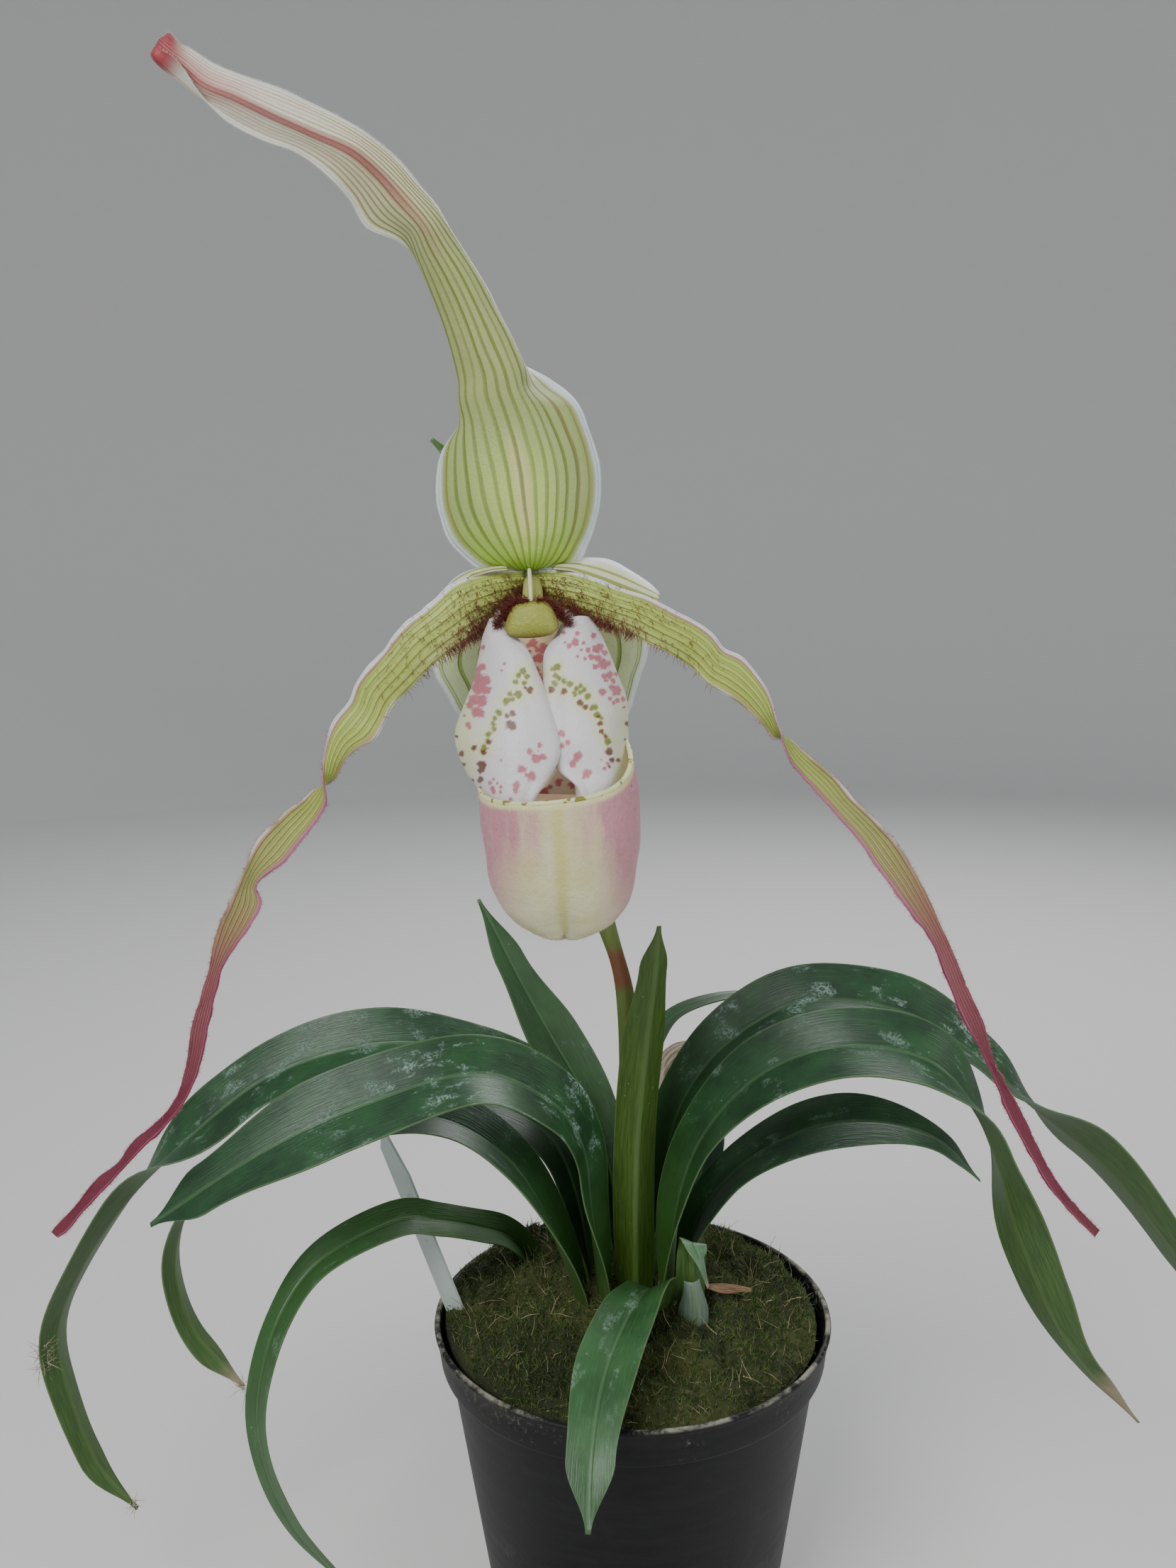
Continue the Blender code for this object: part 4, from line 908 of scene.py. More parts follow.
SEPAL_CAGE = (
    ((-23.1, -49.5, 288.6), (-22.7, -49.6, 288.3), (-22.1, -49.8, 288.0), (-21.5, -50.0, 287.9),
     (-20.9, -50.1, 287.9), (-20.3, -50.0, 287.9), (-19.7, -49.8, 288.1), (-19.0, -49.6, 288.4),
     (-18.4, -49.5, 288.7)),
    ((-29.7, -50.2, 288.5), (-27.8, -51.4, 289.0), (-25.0, -53.0, 289.3), (-22.4, -54.2, 289.5),
     (-20.7, -54.6, 289.6), (-19.0, -54.2, 289.7), (-16.7, -53.0, 289.7), (-14.1, -51.4, 289.5),
     (-12.2, -50.2, 289.2)),
    ((-35.7, -50.6, 292.7), (-33.8, -52.2, 293.4), (-29.3, -55.0, 293.9), (-24.2, -57.0, 293.9),
     (-20.6, -57.4, 293.9), (-17.5, -57.0, 294.1), (-13.8, -55.0, 294.4), (-10.4, -52.2, 294.4),
     (-8.6, -50.6, 294.0)),
    ((-39.0, -51.0, 299.7), (-37.2, -52.8, 300.0), (-32.6, -56.0, 300.2), (-26.2, -58.4, 300.3),
     (-21.2, -58.9, 300.5), (-16.8, -58.4, 300.7), (-12.2, -56.0, 301.1), (-7.9, -52.8, 301.4),
     (-6.3, -51.0, 301.4)),
    ((-39.6, -51.0, 306.5), (-37.9, -52.8, 306.8), (-33.7, -56.4, 306.9), (-27.3, -58.9, 307.0),
     (-21.9, -59.5, 307.2), (-16.7, -58.9, 307.4), (-12.1, -56.2, 307.8), (-7.7, -52.8, 308.3),
     (-6.1, -51.0, 308.4)),
    ((-38.0, -50.6, 312.9), (-36.9, -52.2, 313.4), (-33.9, -56.0, 313.6), (-28.7, -58.9, 313.7),
     (-23.1, -59.8, 313.8), (-18.2, -59.3, 314.1), (-14.1, -56.8, 314.9), (-9.8, -52.8, 316.3),
     (-8.4, -51.0, 317.0)),
    ((-35.4, -49.8, 317.0), (-34.8, -51.2, 317.5), (-33.5, -55.5, 317.8), (-29.6, -59.0, 318.1),
     (-24.4, -60.1, 318.3), (-19.8, -59.6, 318.7), (-16.5, -56.8, 319.9), (-12.4, -52.2, 321.6),
     (-10.8, -50.6, 322.4)),
    ((-31.9, -48.6, 321.9), (-33.5, -50.4, 322.0), (-34.0, -55.4, 322.0), (-30.6, -59.4, 322.1),
     (-25.7, -60.8, 322.5), (-21.9, -60.2, 323.1), (-19.9, -57.0, 323.9), (-17.3, -51.0, 325.5),
     (-15.2, -49.0, 326.3)),
    ((-31.0, -49.0, 325.5), (-32.9, -50.8, 325.4), (-34.0, -55.4, 325.2), (-30.6, -59.6, 325.3),
     (-26.3, -61.2, 325.6), (-22.7, -60.6, 326.3), (-20.7, -57.2, 327.5), (-21.2, -51.2, 329.3),
     (-22.1, -48.8, 330.3)),
    ((-31.4, -51.0, 331.0), (-33.6, -52.6, 330.5), (-34.8, -56.2, 330.2), (-31.6, -60.2, 330.3),
     (-28.2, -61.5, 330.7), (-24.8, -60.6, 331.8), (-23.1, -57.4, 333.4), (-24.5, -53.0, 334.8),
     (-26.0, -51.4, 335.2)),
    ((-34.3, -53.8, 337.2), (-35.9, -55.0, 336.8), (-36.6, -57.6, 336.5), (-33.7, -60.8, 336.8),
     (-30.7, -61.9, 337.3), (-28.0, -60.9, 338.5), (-26.6, -58.4, 340.0), (-27.2, -55.6, 341.1),
     (-28.3, -54.2, 341.5)),
    ((-36.9, -56.0, 343.1), (-38.1, -57.0, 342.9), (-38.7, -59.0, 342.6), (-36.2, -61.9, 342.8),
     (-33.5, -62.9, 343.3), (-31.1, -62.1, 344.5), (-29.9, -60.0, 345.8), (-30.4, -58.0, 346.7),
     (-31.3, -57.0, 347.2)),
    ((-41.1, -59.6, 348.1), (-41.3, -60.0, 348.2), (-40.9, -61.0, 348.4), (-38.9, -63.4, 348.4),
     (-36.7, -64.4, 349.0), (-34.9, -63.8, 350.0), (-33.7, -62.0, 351.5), (-34.0, -60.6, 352.2),
     (-34.6, -59.8, 352.7)),
    ((-43.9, -62.0, 350.3), (-43.2, -62.2, 350.7), (-42.0, -63.0, 351.2), (-40.1, -65.0, 351.4),
     (-38.4, -66.0, 352.1), (-36.9, -65.4, 353.0), (-35.8, -64.0, 354.3), (-35.7, -63.0, 355.0),
     (-35.9, -62.4, 355.4)),
    ((-50.0, -63.6, 352.8), (-48.9, -63.8, 353.5), (-46.7, -64.8, 354.6), (-44.4, -66.4, 355.5),
     (-42.4, -67.4, 356.7), (-41.1, -66.8, 357.7), (-40.3, -65.8, 358.7), (-39.7, -65.0, 359.4),
     (-39.4, -64.6, 359.8)),
    ((-52.4, -66.6, 356.8), (-51.6, -66.6, 357.6), (-49.9, -67.4, 358.6), (-48.1, -68.6, 359.7),
     (-46.5, -69.4, 360.8), (-45.5, -69.0, 361.9), (-44.6, -68.2, 363.1), (-44.1, -67.4, 364.0),
     (-43.7, -67.0, 364.5)),
    ((-54.6, -69.2, 359.1), (-53.9, -69.2, 360.0), (-52.6, -69.8, 361.2), (-51.2, -70.8, 362.2),
     (-50.0, -71.4, 363.4), (-49.1, -71.0, 364.6), (-48.6, -70.4, 365.7), (-48.1, -69.8, 366.7),
     (-47.9, -69.4, 367.2)),
    ((-60.5, -72.0, 363.3), (-60.0, -71.9, 364.0), (-59.2, -72.4, 365.0), (-58.5, -73.2, 365.7),
     (-57.9, -73.8, 366.4), (-57.2, -73.4, 367.9), (-56.6, -72.8, 369.5), (-56.2, -72.2, 370.5),
     (-56.0, -71.8, 371.2)),
    ((-66.3, -74.4, 364.9), (-66.0, -74.2, 365.8), (-65.3, -74.8, 366.7), (-64.6, -75.6, 367.6),
     (-64.0, -76.2, 368.5), (-63.5, -75.8, 369.9), (-63.0, -75.2, 371.5), (-62.6, -74.6, 372.7),
     (-62.4, -74.2, 373.4)),
    ((-72.6, -76.8, 367.8), (-72.3, -76.6, 368.6), (-71.6, -77.2, 369.3), (-70.7, -78.0, 370.1),
     (-70.1, -78.6, 370.8), (-69.6, -78.2, 372.1), (-69.3, -77.6, 373.4), (-69.0, -77.0, 374.6),
     (-68.9, -76.6, 375.2)),
    ((-76.2, -79.8, 371.8), (-76.8, -79.0, 371.6), (-76.9, -78.2, 371.8), (-76.0, -79.2, 372.2),
     (-75.3, -79.8, 372.8), (-74.7, -79.6, 373.8), (-74.2, -79.0, 375.1), (-74.0, -78.4, 376.2),
     (-73.8, -78.0, 376.8)),
    ((-77.4, -81.4, 373.9), (-78.8, -80.6, 373.3), (-79.5, -79.4, 373.7), (-78.7, -80.0, 374.4),
     (-77.8, -80.8, 374.9), (-77.3, -80.8, 375.7), (-77.1, -80.2, 376.8), (-76.8, -79.6, 377.7),
     (-76.8, -79.2, 378.3)),
    ((-78.8, -83.0, 375.6), (-80.3, -82.4, 374.3), (-81.7, -80.6, 375.0), (-80.9, -81.0, 375.7),
     (-80.0, -81.8, 376.3), (-79.5, -81.8, 377.1), (-79.3, -81.2, 378.2), (-79.2, -80.6, 378.9),
     (-79.3, -80.2, 379.3)),
    ((-80.6, -83.6, 376.6), (-81.9, -83.2, 375.6), (-82.9, -81.2, 376.0), (-82.4, -81.2, 376.9),
     (-81.7, -81.6, 377.6), (-81.0, -81.6, 378.5), (-80.5, -81.2, 379.3), (-80.2, -80.6, 380.0),
     (-80.1, -80.0, 380.5)),
    ((-81.7, -81.4, 378.2), (-82.6, -81.4, 377.5), (-83.4, -80.0, 377.6), (-83.2, -79.4, 378.4),
     (-82.8, -79.0, 379.3), (-82.4, -78.8, 380.0), (-81.7, -78.8, 380.4), (-81.4, -78.6, 380.7),
     (-81.3, -78.4, 381.0)),
    ((-81.7, -80.0, 378.3), (-82.3, -79.6, 378.0), (-82.7, -79.0, 377.8), (-82.8, -78.2, 378.6),
     (-82.8, -77.6, 379.3), (-82.4, -77.4, 379.8), (-82.0, -77.6, 380.1), (-81.7, -77.8, 380.2),
     (-81.5, -77.8, 380.3)),
)
THIN = {"Subsurface_Radius": (0.6, 0.8, 0.3), "Subsurface_Scale": 0.002}
sepal = Finish("dorsal_sepal", Roughness=0.5, Subsurface_Weight=0.12, **THIN)
across, along, run = (sepal.read(key) for key in ("across", "along", "run"))
far = across.math("ABSOLUTE")
wander = sepal.speckle(sepal.node("ShaderNodeCombineXYZ", {0: across * 1.5, 1: run * 0.05}), 1.0, 2.0)
ridge = ((across + (wander - 0.5) * 0.06) * (14.6 * math.pi)).math("COSINE")
strength = sepal.speckle(sepal.node("ShaderNodeCombineXYZ", {0: across * 7.0, 1: run * 0.012, 2: 3.0}), 1.0,
                         2.0)
vein = ridge.within(0.25, 0.98) * (strength.within(0.25, 0.60) * 0.60 + 0.26)
cells = sepal.speckle(sepal.where(), 1500.0, 3.0, 0.7)
flesh = sepal.mix(along.within(0.02, 0.13), (0.34, 0.58, 0.02), (0.28, 0.375, 0.095))
glow = (1 - far.within(0.10, 0.75)) * along.within(0.02, 0.08) * (1 - along.within(0.12, 0.26))
flesh = sepal.mix(glow * 0.75, flesh, (0.52, 0.64, 0.12))
tan = (1 - far.within(0.03, 0.13)) * along.within(0.05, 0.10) * (1 - along.within(0.18, 0.26))
flesh = sepal.mix(tan * 0.8, flesh, (0.58, 0.52, 0.24))
flesh = sepal.mix(along.within(0.20, 0.32), flesh, (0.31, 0.35, 0.10))
flesh = sepal.mix(along.within(0.48, 0.66), flesh, (0.62, 0.60, 0.36))
flesh = sepal.mix(along.within(0.62, 0.84), flesh, (0.76, 0.70, 0.60))
flesh = sepal.mix(cells * 0.20, flesh, (0.76, 0.80, 0.56))
inked = sepal.mix(along.within(0.02, 0.10), (0.24, 0.40, 0.01), (0.145, 0.20, 0.016))
inked = sepal.mix(across.within(0.52, 0.75) * (1 - along.within(0.26, 0.33)), inked, (0.20, 0.15, 0.04))
inked = sepal.mix(along.within(0.50, 0.72), inked, (0.36, 0.20, 0.12))
bloom = vein * (1 - far.within(0.80, 0.90)) * (1 - along.within(0.62, 0.85) * 0.80)
colour = sepal.mix(bloom, flesh, inked)
stripe = (1 - (across + 0.03).math("ABSOLUTE").within(0.04, 0.24)) * along.within(0.47, 0.68)
colour = sepal.mix(stripe * 0.88, colour, (0.34, 0.085, 0.085))
blush = along.within(0.80, 0.92) * (1 - far.within(0.3, 0.8))
colour = sepal.mix(blush * 0.6, colour, (0.55, 0.20, 0.19))
edge = far.within(0.84, 0.93)
colour = sepal.mix(edge, colour, sepal.mix(along.within(0.25, 0.4), (0.62, 0.68, 0.72), (0.72, 0.72, 0.64)))
colour = sepal.mix((1 - edge) * far.within(0.74, 0.82) * (1 - along.within(0.24, 0.30)) * 0.5, colour,
                   (0.30, 0.30, 0.08))
colour = sepal.mix(along.within(0.93, 0.965), colour, (0.34, 0.045, 0.055))
sepal.wear(Base_Color=colour, Roughness=cells * 0.15 + 0.42)
sepal.raise_by(vein * -0.7 + cells * 0.5, 0.00035)
sepal_columns = np.r_[-1.0, -0.985, np.linspace(-0.95, 0.95, 41), 0.985, 1.0]
dorsal_grid = petal_piece(
    "dorsal_sepal_blade", "dorsal_sepal", SEPAL_CAGE,
    (-1, -0.86, -0.6, -0.28, 0, 0.28, 0.6, 0.86, 1),
    190, sepal_columns, (0.5, 0.28), sepal.material, (0.35, 6.0, 0.0),
)


# ---- Synsepal: the two lower sepals grown together behind the pouch, pale grey-green, veined, its
# white margin crimped and rolled back.

SYNSEPAL_ROWS = (
    ((-33.9, -44.0, 278.6), (-4.6, -44.0, 279.3), -46.5),
    ((-41.0, -42.4, 273.6), (2.5, -42.4, 276.1), -44.4),
    ((-43.0, -41.0, 269.0), (4.1, -41.0, 271.9), -43.2),
    ((-40.6, -40.6, 263.5), (2.4, -40.6, 265.8), -42.6),
    ((-37.2, -41.0, 257.7), (0.0, -41.0, 258.9), -42.6),
    ((-32.1, -42.0, 250.7), (-4.6, -42.0, 251.2), -43.2),
    ((-26.7, -43.4, 243.5), (-9.8, -43.4, 243.8), -44.6),
    ((-21.3, -45.4, 239.5), (-14.9, -45.4, 239.6), -45.8),
)
synsepal = Finish("synsepal", Roughness=0.55, Subsurface_Weight=0.1, **THIN)
across, run = synsepal.read("across"), synsepal.read("run")
far = across.math("ABSOLUTE")
ridge = (across * (11.0 * math.pi)).math("COSINE")
vein = ridge.within(0.70, 0.99)
cells = synsepal.speckle(synsepal.where(), 1500.0, 3.0)
flesh = synsepal.mix(cells, (0.42, 0.50, 0.27), (0.56, 0.62, 0.41))
colour = synsepal.mix(vein * (1 - far.within(0.86, 0.94)) * 0.85, flesh, (0.19, 0.27, 0.03))
synsepal.wear(Base_Color=synsepal.mix(far.within(0.92, 0.97), colour, (0.66, 0.69, 0.68)))
synsepal.raise_by(vein * -1.0 + cells * 0.4, 0.0004)
cage = []
for left, right, depth in SYNSEPAL_ROWS:
    left, right = np.array(left), np.array(right)
    row = [left + (right - left) * share for share in (0, 0.06, 0.25, 0.5, 0.75, 0.94, 1)]
    for point, back in zip(row, (0.0, 0.7, 0.9, 1.0, 0.9, 0.7, 0.0)):
        point[1] += (depth - left[1]) * back
    cage.append(row)
petal_piece(
    "synsepal_blade", "synsepal", cage, (-1, -0.88, -0.5, 0, 0.5, 0.88, 1), 60,
    np.linspace(-1, 1, 41),
    (0.5, 0.28), synsepal.material, (1.0, 5.0, 2.0, 3.0),
)


# ---- Petals: long hanging ribbons, yellow-green and veined with a white to violet margin, that
# make a half turn, flush rose-maroon and end in a thin twisted tail. A striped lobe rolls back
# behind each base. Dark hairs stand along the lower margin.

LEFT_MARGINS = (
    ((-21.6, -50.8, 288.7), (-22.9, -51.2, 281.0), 1.0),
    ((-29.0, -52.8, 288.5), (-25.7, -54.2, 278.7), 1.3),
    ((-36.1, -54.6, 286.2), (-30.2, -56.0, 276.7), 1.5),
    ((-41.5, -55.6, 281.6), (-34.4, -57.0, 274.1), 1.4),
    ((-46.8, -56.4, 277.5), (-39.7, -57.6, 270.4), 1.2),
    ((-51.8, -56.8, 271.7), (-44.8, -57.8, 265.6), 1.0),
    ((-56.8, -56.6, 265.9), (-49.3, -57.8, 260.9), 0.8),
    ((-58.3, -56.0, 262.4), (-50.8, -58.4, 257.9), 0.9),
    ((-61.0, -56.2, 259.4), (-52.8, -59.2, 254.6), 0.9),
    ((-62.8, -56.6, 255.7), (-57.0, -58.6, 252.4), 0.7),
    ((-63.8, -57.4, 251.6), (-59.7, -57.6, 249.5), 0.6),
    ((-64.0, -58.8, 248.5), (-61.9, -56.4, 246.4), 0.2),
    ((-63.6, -60.0, 246.1), (-64.4, -55.6, 244.7), 0.0),
    ((-63.1, -59.4, 243.7), (-66.1, -56.0, 244.2), -0.3),
    ((-63.9, -58.4, 240.7), (-69.0, -56.4, 241.9), -0.7),
    ((-66.0, -57.6, 237.3), (-72.2, -56.0, 239.6), -1.0),
    ((-69.6, -57.0, 233.1), (-75.9, -55.8, 236.4), -1.0),
    ((-73.2, -56.4, 228.8), (-79.3, -55.6, 232.8), -1.0),
    ((-78.2, -54.8, 225.4), (-81.6, -55.6, 228.1), -0.8),
    ((-79.9, -54.2, 223.1), (-83.5, -55.4, 224.1), -0.8),
    ((-78.9, -54.6, 220.2), (-86.0, -55.0, 219.4), -0.9),
    ((-80.7, -54.8, 216.0), (-88.2, -54.4, 215.2), -0.9),
    ((-84.2, -54.6, 211.3), (-90.0, -53.6, 210.3), -0.8),
    ((-87.7, -54.0, 206.3), (-91.4, -52.8, 205.1), -0.6),
    ((-90.1, -53.0, 199.8), (-93.8, -52.0, 198.5), -0.6),
    ((-92.3, -52.0, 192.7), (-96.5, -51.0, 191.5), -0.6),
    ((-94.6, -50.8, 184.9), (-98.3, -49.8, 183.7), -0.5),
    ((-96.7, -50.0, 179.4), (-100.2, -49.0, 177.8), -0.5),
    ((-99.4, -49.6, 174.3), (-102.7, -48.4, 173.0), -0.4),
    ((-103.6, -49.4, 168.9), (-107.1, -48.0, 168.4), -0.4),
    ((-108.8, -49.2, 164.1), (-112.3, -48.0, 164.1), -0.3),
    ((-114.1, -49.0, 158.7), (-115.9, -48.0, 159.3), -0.2),
    ((-118.6, -49.0, 153.9), (-120.5, -48.0, 155.9), -0.2),
    ((-124.4, -49.0, 148.0), (-126.3, -48.0, 149.0), -0.2),
    ((-128.8, -48.8, 143.2), (-131.0, -48.0, 144.3), -0.2),
    ((-130.3, -48.6, 142.3), (-131.8, -48.0, 143.3), 0.0),
)
RIGHT_MARGINS = (
    ((-20.7, -50.8, 288.7), (-19.4, -51.2, 281.1), 1.0),
    ((-14.0, -53.0, 288.5), (-16.4, -54.0, 279.8), 1.3),
    ((-7.9, -54.6, 286.7), (-11.4, -55.8, 279.0), 1.5),
    ((-2.1, -55.6, 284.3), (-5.6, -56.8, 277.3), 1.4),
    ((3.7, -56.2, 282.4), (-0.8, -57.4, 275.4), 1.3),
    ((8.8, -56.8, 279.6), (3.8, -57.8, 273.1), 1.1),
    ((13.1, -57.0, 277.4), (8.2, -57.8, 270.8), 1.0),
    ((16.4, -56.8, 274.9), (12.1, -58.0, 268.1), 0.9),
    ((18.8, -56.4, 272.0), (14.7, -58.8, 265.2), 0.9),
    ((22.4, -56.4, 270.1), (18.4, -58.8, 262.8), 0.9),
    ((25.2, -56.8, 266.8), (21.9, -58.0, 260.6), 0.8),
    ((27.4, -57.4, 263.5), (24.8, -57.4, 257.8), 0.6),
    ((28.6, -58.2, 260.0), (27.4, -56.6, 255.3), 0.4),
    ((29.3, -59.2, 257.1), (29.5, -55.6, 253.2), 0.1),
    ((30.0, -59.4, 254.5), (31.4, -54.8, 253.4), 0.0),
    ((30.5, -58.8, 251.9), (33.3, -55.0, 252.3), -0.3),
    ((31.9, -57.8, 248.8), (35.8, -55.2, 250.0), -0.6),
    ((34.3, -56.8, 245.7), (38.9, -55.0, 247.5), -0.9),
    ((37.8, -56.0, 241.9), (42.4, -54.6, 244.5), -0.9),
    ((41.3, -55.2, 238.1), (45.9, -54.0, 240.1), -0.9),
    ((44.3, -54.4, 234.6), (49.7, -53.4, 236.6), -0.9),
    ((47.3, -53.8, 231.2), (53.3, -52.6, 233.0), -1.0),
    ((51.0, -53.0, 225.7), (56.8, -51.8, 228.9), -1.0),
    ((54.6, -52.2, 221.0), (59.9, -51.0, 223.9), -0.9),
    ((59.7, -50.8, 214.0), (63.6, -49.8, 217.0), -0.7),
    ((64.0, -49.8, 208.2), (66.8, -48.8, 210.5), -0.5),
    ((67.0, -48.8, 201.8), (70.1, -47.8, 203.7), -0.5),
    ((70.1, -47.8, 194.4), (73.4, -46.8, 196.1), -0.5),
    ((73.3, -46.8, 187.7), (77.4, -46.0, 187.8), -0.5),
    ((77.0, -46.0, 181.6), (79.8, -45.4, 179.7), -0.4),
    ((80.8, -45.4, 173.5), (83.4, -44.8, 172.9), -0.4),
    ((83.9, -45.0, 166.0), (87.3, -44.4, 165.8), -0.4),
    ((87.6, -44.8, 159.3), (90.7, -44.2, 158.7), -0.3),
    ((91.1, -44.6, 153.1), (94.3, -44.0, 151.9), -0.3),
    ((94.5, -44.6, 147.6), (97.0, -44.0, 147.8), -0.2),
    ((99.8, -44.4, 141.4), (101.0, -44.0, 142.9), -0.2),
    ((104.7, -44.4, 136.3), (105.9, -44.0, 137.7), 0.0),
)
LEFT_LOBE = (
    ((-25.2, -54.4, 288.6), (-26.1, -49.5, 289.1)),
    ((-28.1, -54.4, 288.2), (-29.3, -49.5, 289.1)),
    ((-31.1, -54.4, 287.6), (-33.1, -49.5, 288.6)),
    ((-34.0, -54.4, 286.4), (-36.4, -49.5, 287.1)),
    ((-36.5, -54.4, 285.0), (-38.6, -49.5, 284.9)),
    ((-38.5, -54.4, 283.2), (-40.5, -49.5, 282.9)),
    ((-39.6, -54.4, 282.3), (-41.1, -49.5, 282.2)),
)
RIGHT_LOBE = (
    ((-15.9, -54.4, 288.6), (-14.6, -48.5, 289.5)),
    ((-11.6, -54.4, 287.9), (-11.3, -48.5, 290.6)),
    ((-7.2, -54.4, 286.3), (-6.9, -48.5, 290.8)),
    ((-2.8, -54.4, 284.5), (-2.8, -48.5, 289.7)),
    ((0.8, -54.4, 283.2), (0.8, -48.5, 287.5)),
    ((3.8, -54.4, 282.1), (4.2, -48.5, 285.1)),
    ((5.5, -54.4, 281.7), (6.3, -48.5, 283.1)),
)
petal = Finish("petal", Roughness=0.45, Subsurface_Weight=0.1, **THIN)
across, along, run = (petal.read(key) for key in ("across", "along", "run"))
wander = petal.speckle(petal.node("ShaderNodeCombineXYZ", {0: across * 2.0, 1: run * 0.05}), 1.0, 2.0)
ridge = ((across + (wander - 0.5) * 0.10) * (6.0 * math.pi)).math("COSINE")
vein = ridge.within(-0.4, 1.0)
cells = petal.speckle(petal.where(), 1300.0, 3.0, 0.7)
flesh = petal.mix(wander, (0.31, 0.39, 0.040), (0.41, 0.49, 0.085))
flesh = petal.mix(vein * 0.55, flesh, (0.24, 0.31, 0.035))
flesh = petal.mix(along.within(0.30, 0.46) * 0.7, flesh, (0.30, 0.27, 0.085))
flesh = petal.mix(along.within(0.02, 0.10) * (1 - along.within(0.1, 0.2)) * across.within(0.1, 0.9) * 0.4,
                  flesh, (0.60, 0.64, 0.30))
rose = petal.mix(vein * 0.5, (0.30, 0.085, 0.10), (0.20, 0.045, 0.06))
rose = petal.mix(along.within(0.60, 0.80), rose, (0.175, 0.012, 0.042))
colour = petal.mix((along + (wander - 0.5) * 0.06).within(0.44, 0.62), flesh, rose)
colour = petal.mix(cells * (1 - along.within(0.42, 0.62) * 0.8) * 0.13, colour, (0.75, 0.72, 0.55))
line = (1 - across.within(-0.80, -0.66)) * across.within(-0.90, -0.80)
colour = petal.mix(line * along.within(0.06, 0.16) * 0.75, colour, (0.40, 0.13, 0.19))
upper_hem = 1 - across.within(-0.88, -0.80)
tinge = petal.mix(along.within(0.24, 0.34), (0.70, 0.68, 0.74), (0.42, 0.15, 0.24))
tinge = petal.mix(along.within(0.5, 0.62), tinge, (0.21, 0.022, 0.065))
colour = petal.mix(upper_hem, colour, tinge)
flaps = petal.speckle(petal.node("ShaderNodeCombineXYZ", {0: run * 0.09}), 1.0, 1.0).within(0.42, 0.55)
lower_hem = across.within(0.80, 0.90) * along.within(0.17, 0.24) * (1 - along.within(0.40, 0.55))
colour = petal.mix(lower_hem * (flaps * 0.6 + 0.3), colour, (0.66, 0.62, 0.64))
inner_line = (
    across.within(0.66, 0.80) * (1 - across.within(0.84, 0.92)) * along.within(0.2, 0.26)
    * (1 - along.within(0.5, 0.6))
)
colour = petal.mix(inner_line * 0.5, colour, (0.45, 0.12, 0.15))
petal.wear(Base_Color=colour, Roughness=cells * 0.15 + 0.40)
petal.raise_by(vein * -0.7 + cells * 0.4, 0.0004)
petal_knots = (-1, -0.8, -0.42, 0, 0.42, 0.8, 1)
petal_columns = np.r_[-1.0, -0.98, np.linspace(-0.93, 0.93, 19), 0.98, 1.0]


def petal_cage(margins):
    cage = []
    for upper, lower, bow in margins:
        upper, lower = np.array(upper), np.array(lower)
        row = [upper + (lower - upper) * (knot + 1) / 2 for knot in petal_knots]
        for point, knot in zip(row, petal_knots):
            point[1] -= bow * (1 - knot * knot)
        cage.append(row)
    return cage


petal_grids = [
    petal_piece("petal_" + side + "_ribbon", "petal_" + side, petal_cage(margins), petal_knots,
                300,
                petal_columns, (0.5, 0.26), petal.material, (0.7, 3.5, seed, 4.0))
    for side, margins, seed in (("left", LEFT_MARGINS, 5.0), ("right", RIGHT_MARGINS, 9.0))
]
striped = Finish("petal_lobe", Roughness=0.5)
across = striped.read("across")
bands = (across * (2.6 * math.pi)).math("COSINE").within(0.1, 0.95)
colour = striped.mix(bands, (0.58, 0.60, 0.36), (0.27, 0.31, 0.05))
striped.wear(Base_Color=striped.mix(across.within(0.52, 0.68), colour, (0.72, 0.74, 0.76)))
striped.raise_by(bands, 0.0003)
for side, rows in (("left", LEFT_LOBE), ("right", RIGHT_LOBE)):
    cage = []
    for front, back in rows:
        front, back = np.array(front), np.array(back)
        ridge_point = front + (back - front) * 0.55 + np.array([0, 0, 0.5])
        cage.append([front, front + (ridge_point - front) * 0.5 + np.array([0, -0.2, 0.1]), ridge_point,
                     back])
    petal_piece("petal_" + side + "_lobe", "petal_" + side, cage, (-1, -0.3, 0.4, 1), 40,
                np.linspace(-1, 1, 15), (0.45, 0.3), striped.material, (0.15, 3.0, 1.0))


# ---- Column: the fused stamens and style, from behind the petals forward to the shield-shaped
# staminode, olive yellow, with a cream ridge on top and thick maroon brows at its sides.

olive = Finish("staminode", Roughness=0.5)
here = olive.where()
depth = olive.node("ShaderNodeSeparateXYZ", {0: here}, output="Y")
shade = olive.mix(olive.speckle(here, 700.0, 3.0), (0.22, 0.235, 0.022), (0.36, 0.38, 0.07))
rim = olive.read("edge")
shade = olive.mix(rim.within(0.72, 0.98) * 0.7, shade, (0.16, 0.10, 0.02))
olive.wear(Base_Color=olive.mix(depth.within(-0.0622, -0.0600), shade, (0.62, 0.52, 0.34)))
olive.raise_by(olive.speckle(here, 1400.0, 2.0), 0.0003)
rows = []
for down in np.linspace(-1, 1, 25):
    half = 3.0 + 2.1 * (1 - ((1 - down) / 2) ** 1.3) - 1.3 * max(0.0, down - 0.7) ** 1.2
    row = []
    for side in np.linspace(-1, 1, 31):
        dome = 1.5 * (1 - abs(side) ** 3) * (1 - abs(down) ** 4)
        low = 0.5 * (1 - side * side) * max(0.0, down)
        row.append((-20.15 + half * side, -63.7 - dome - 0.4 * down,
                    278.7 - 2.6 * down - low + 0.25 * side))
    rows.append(row)
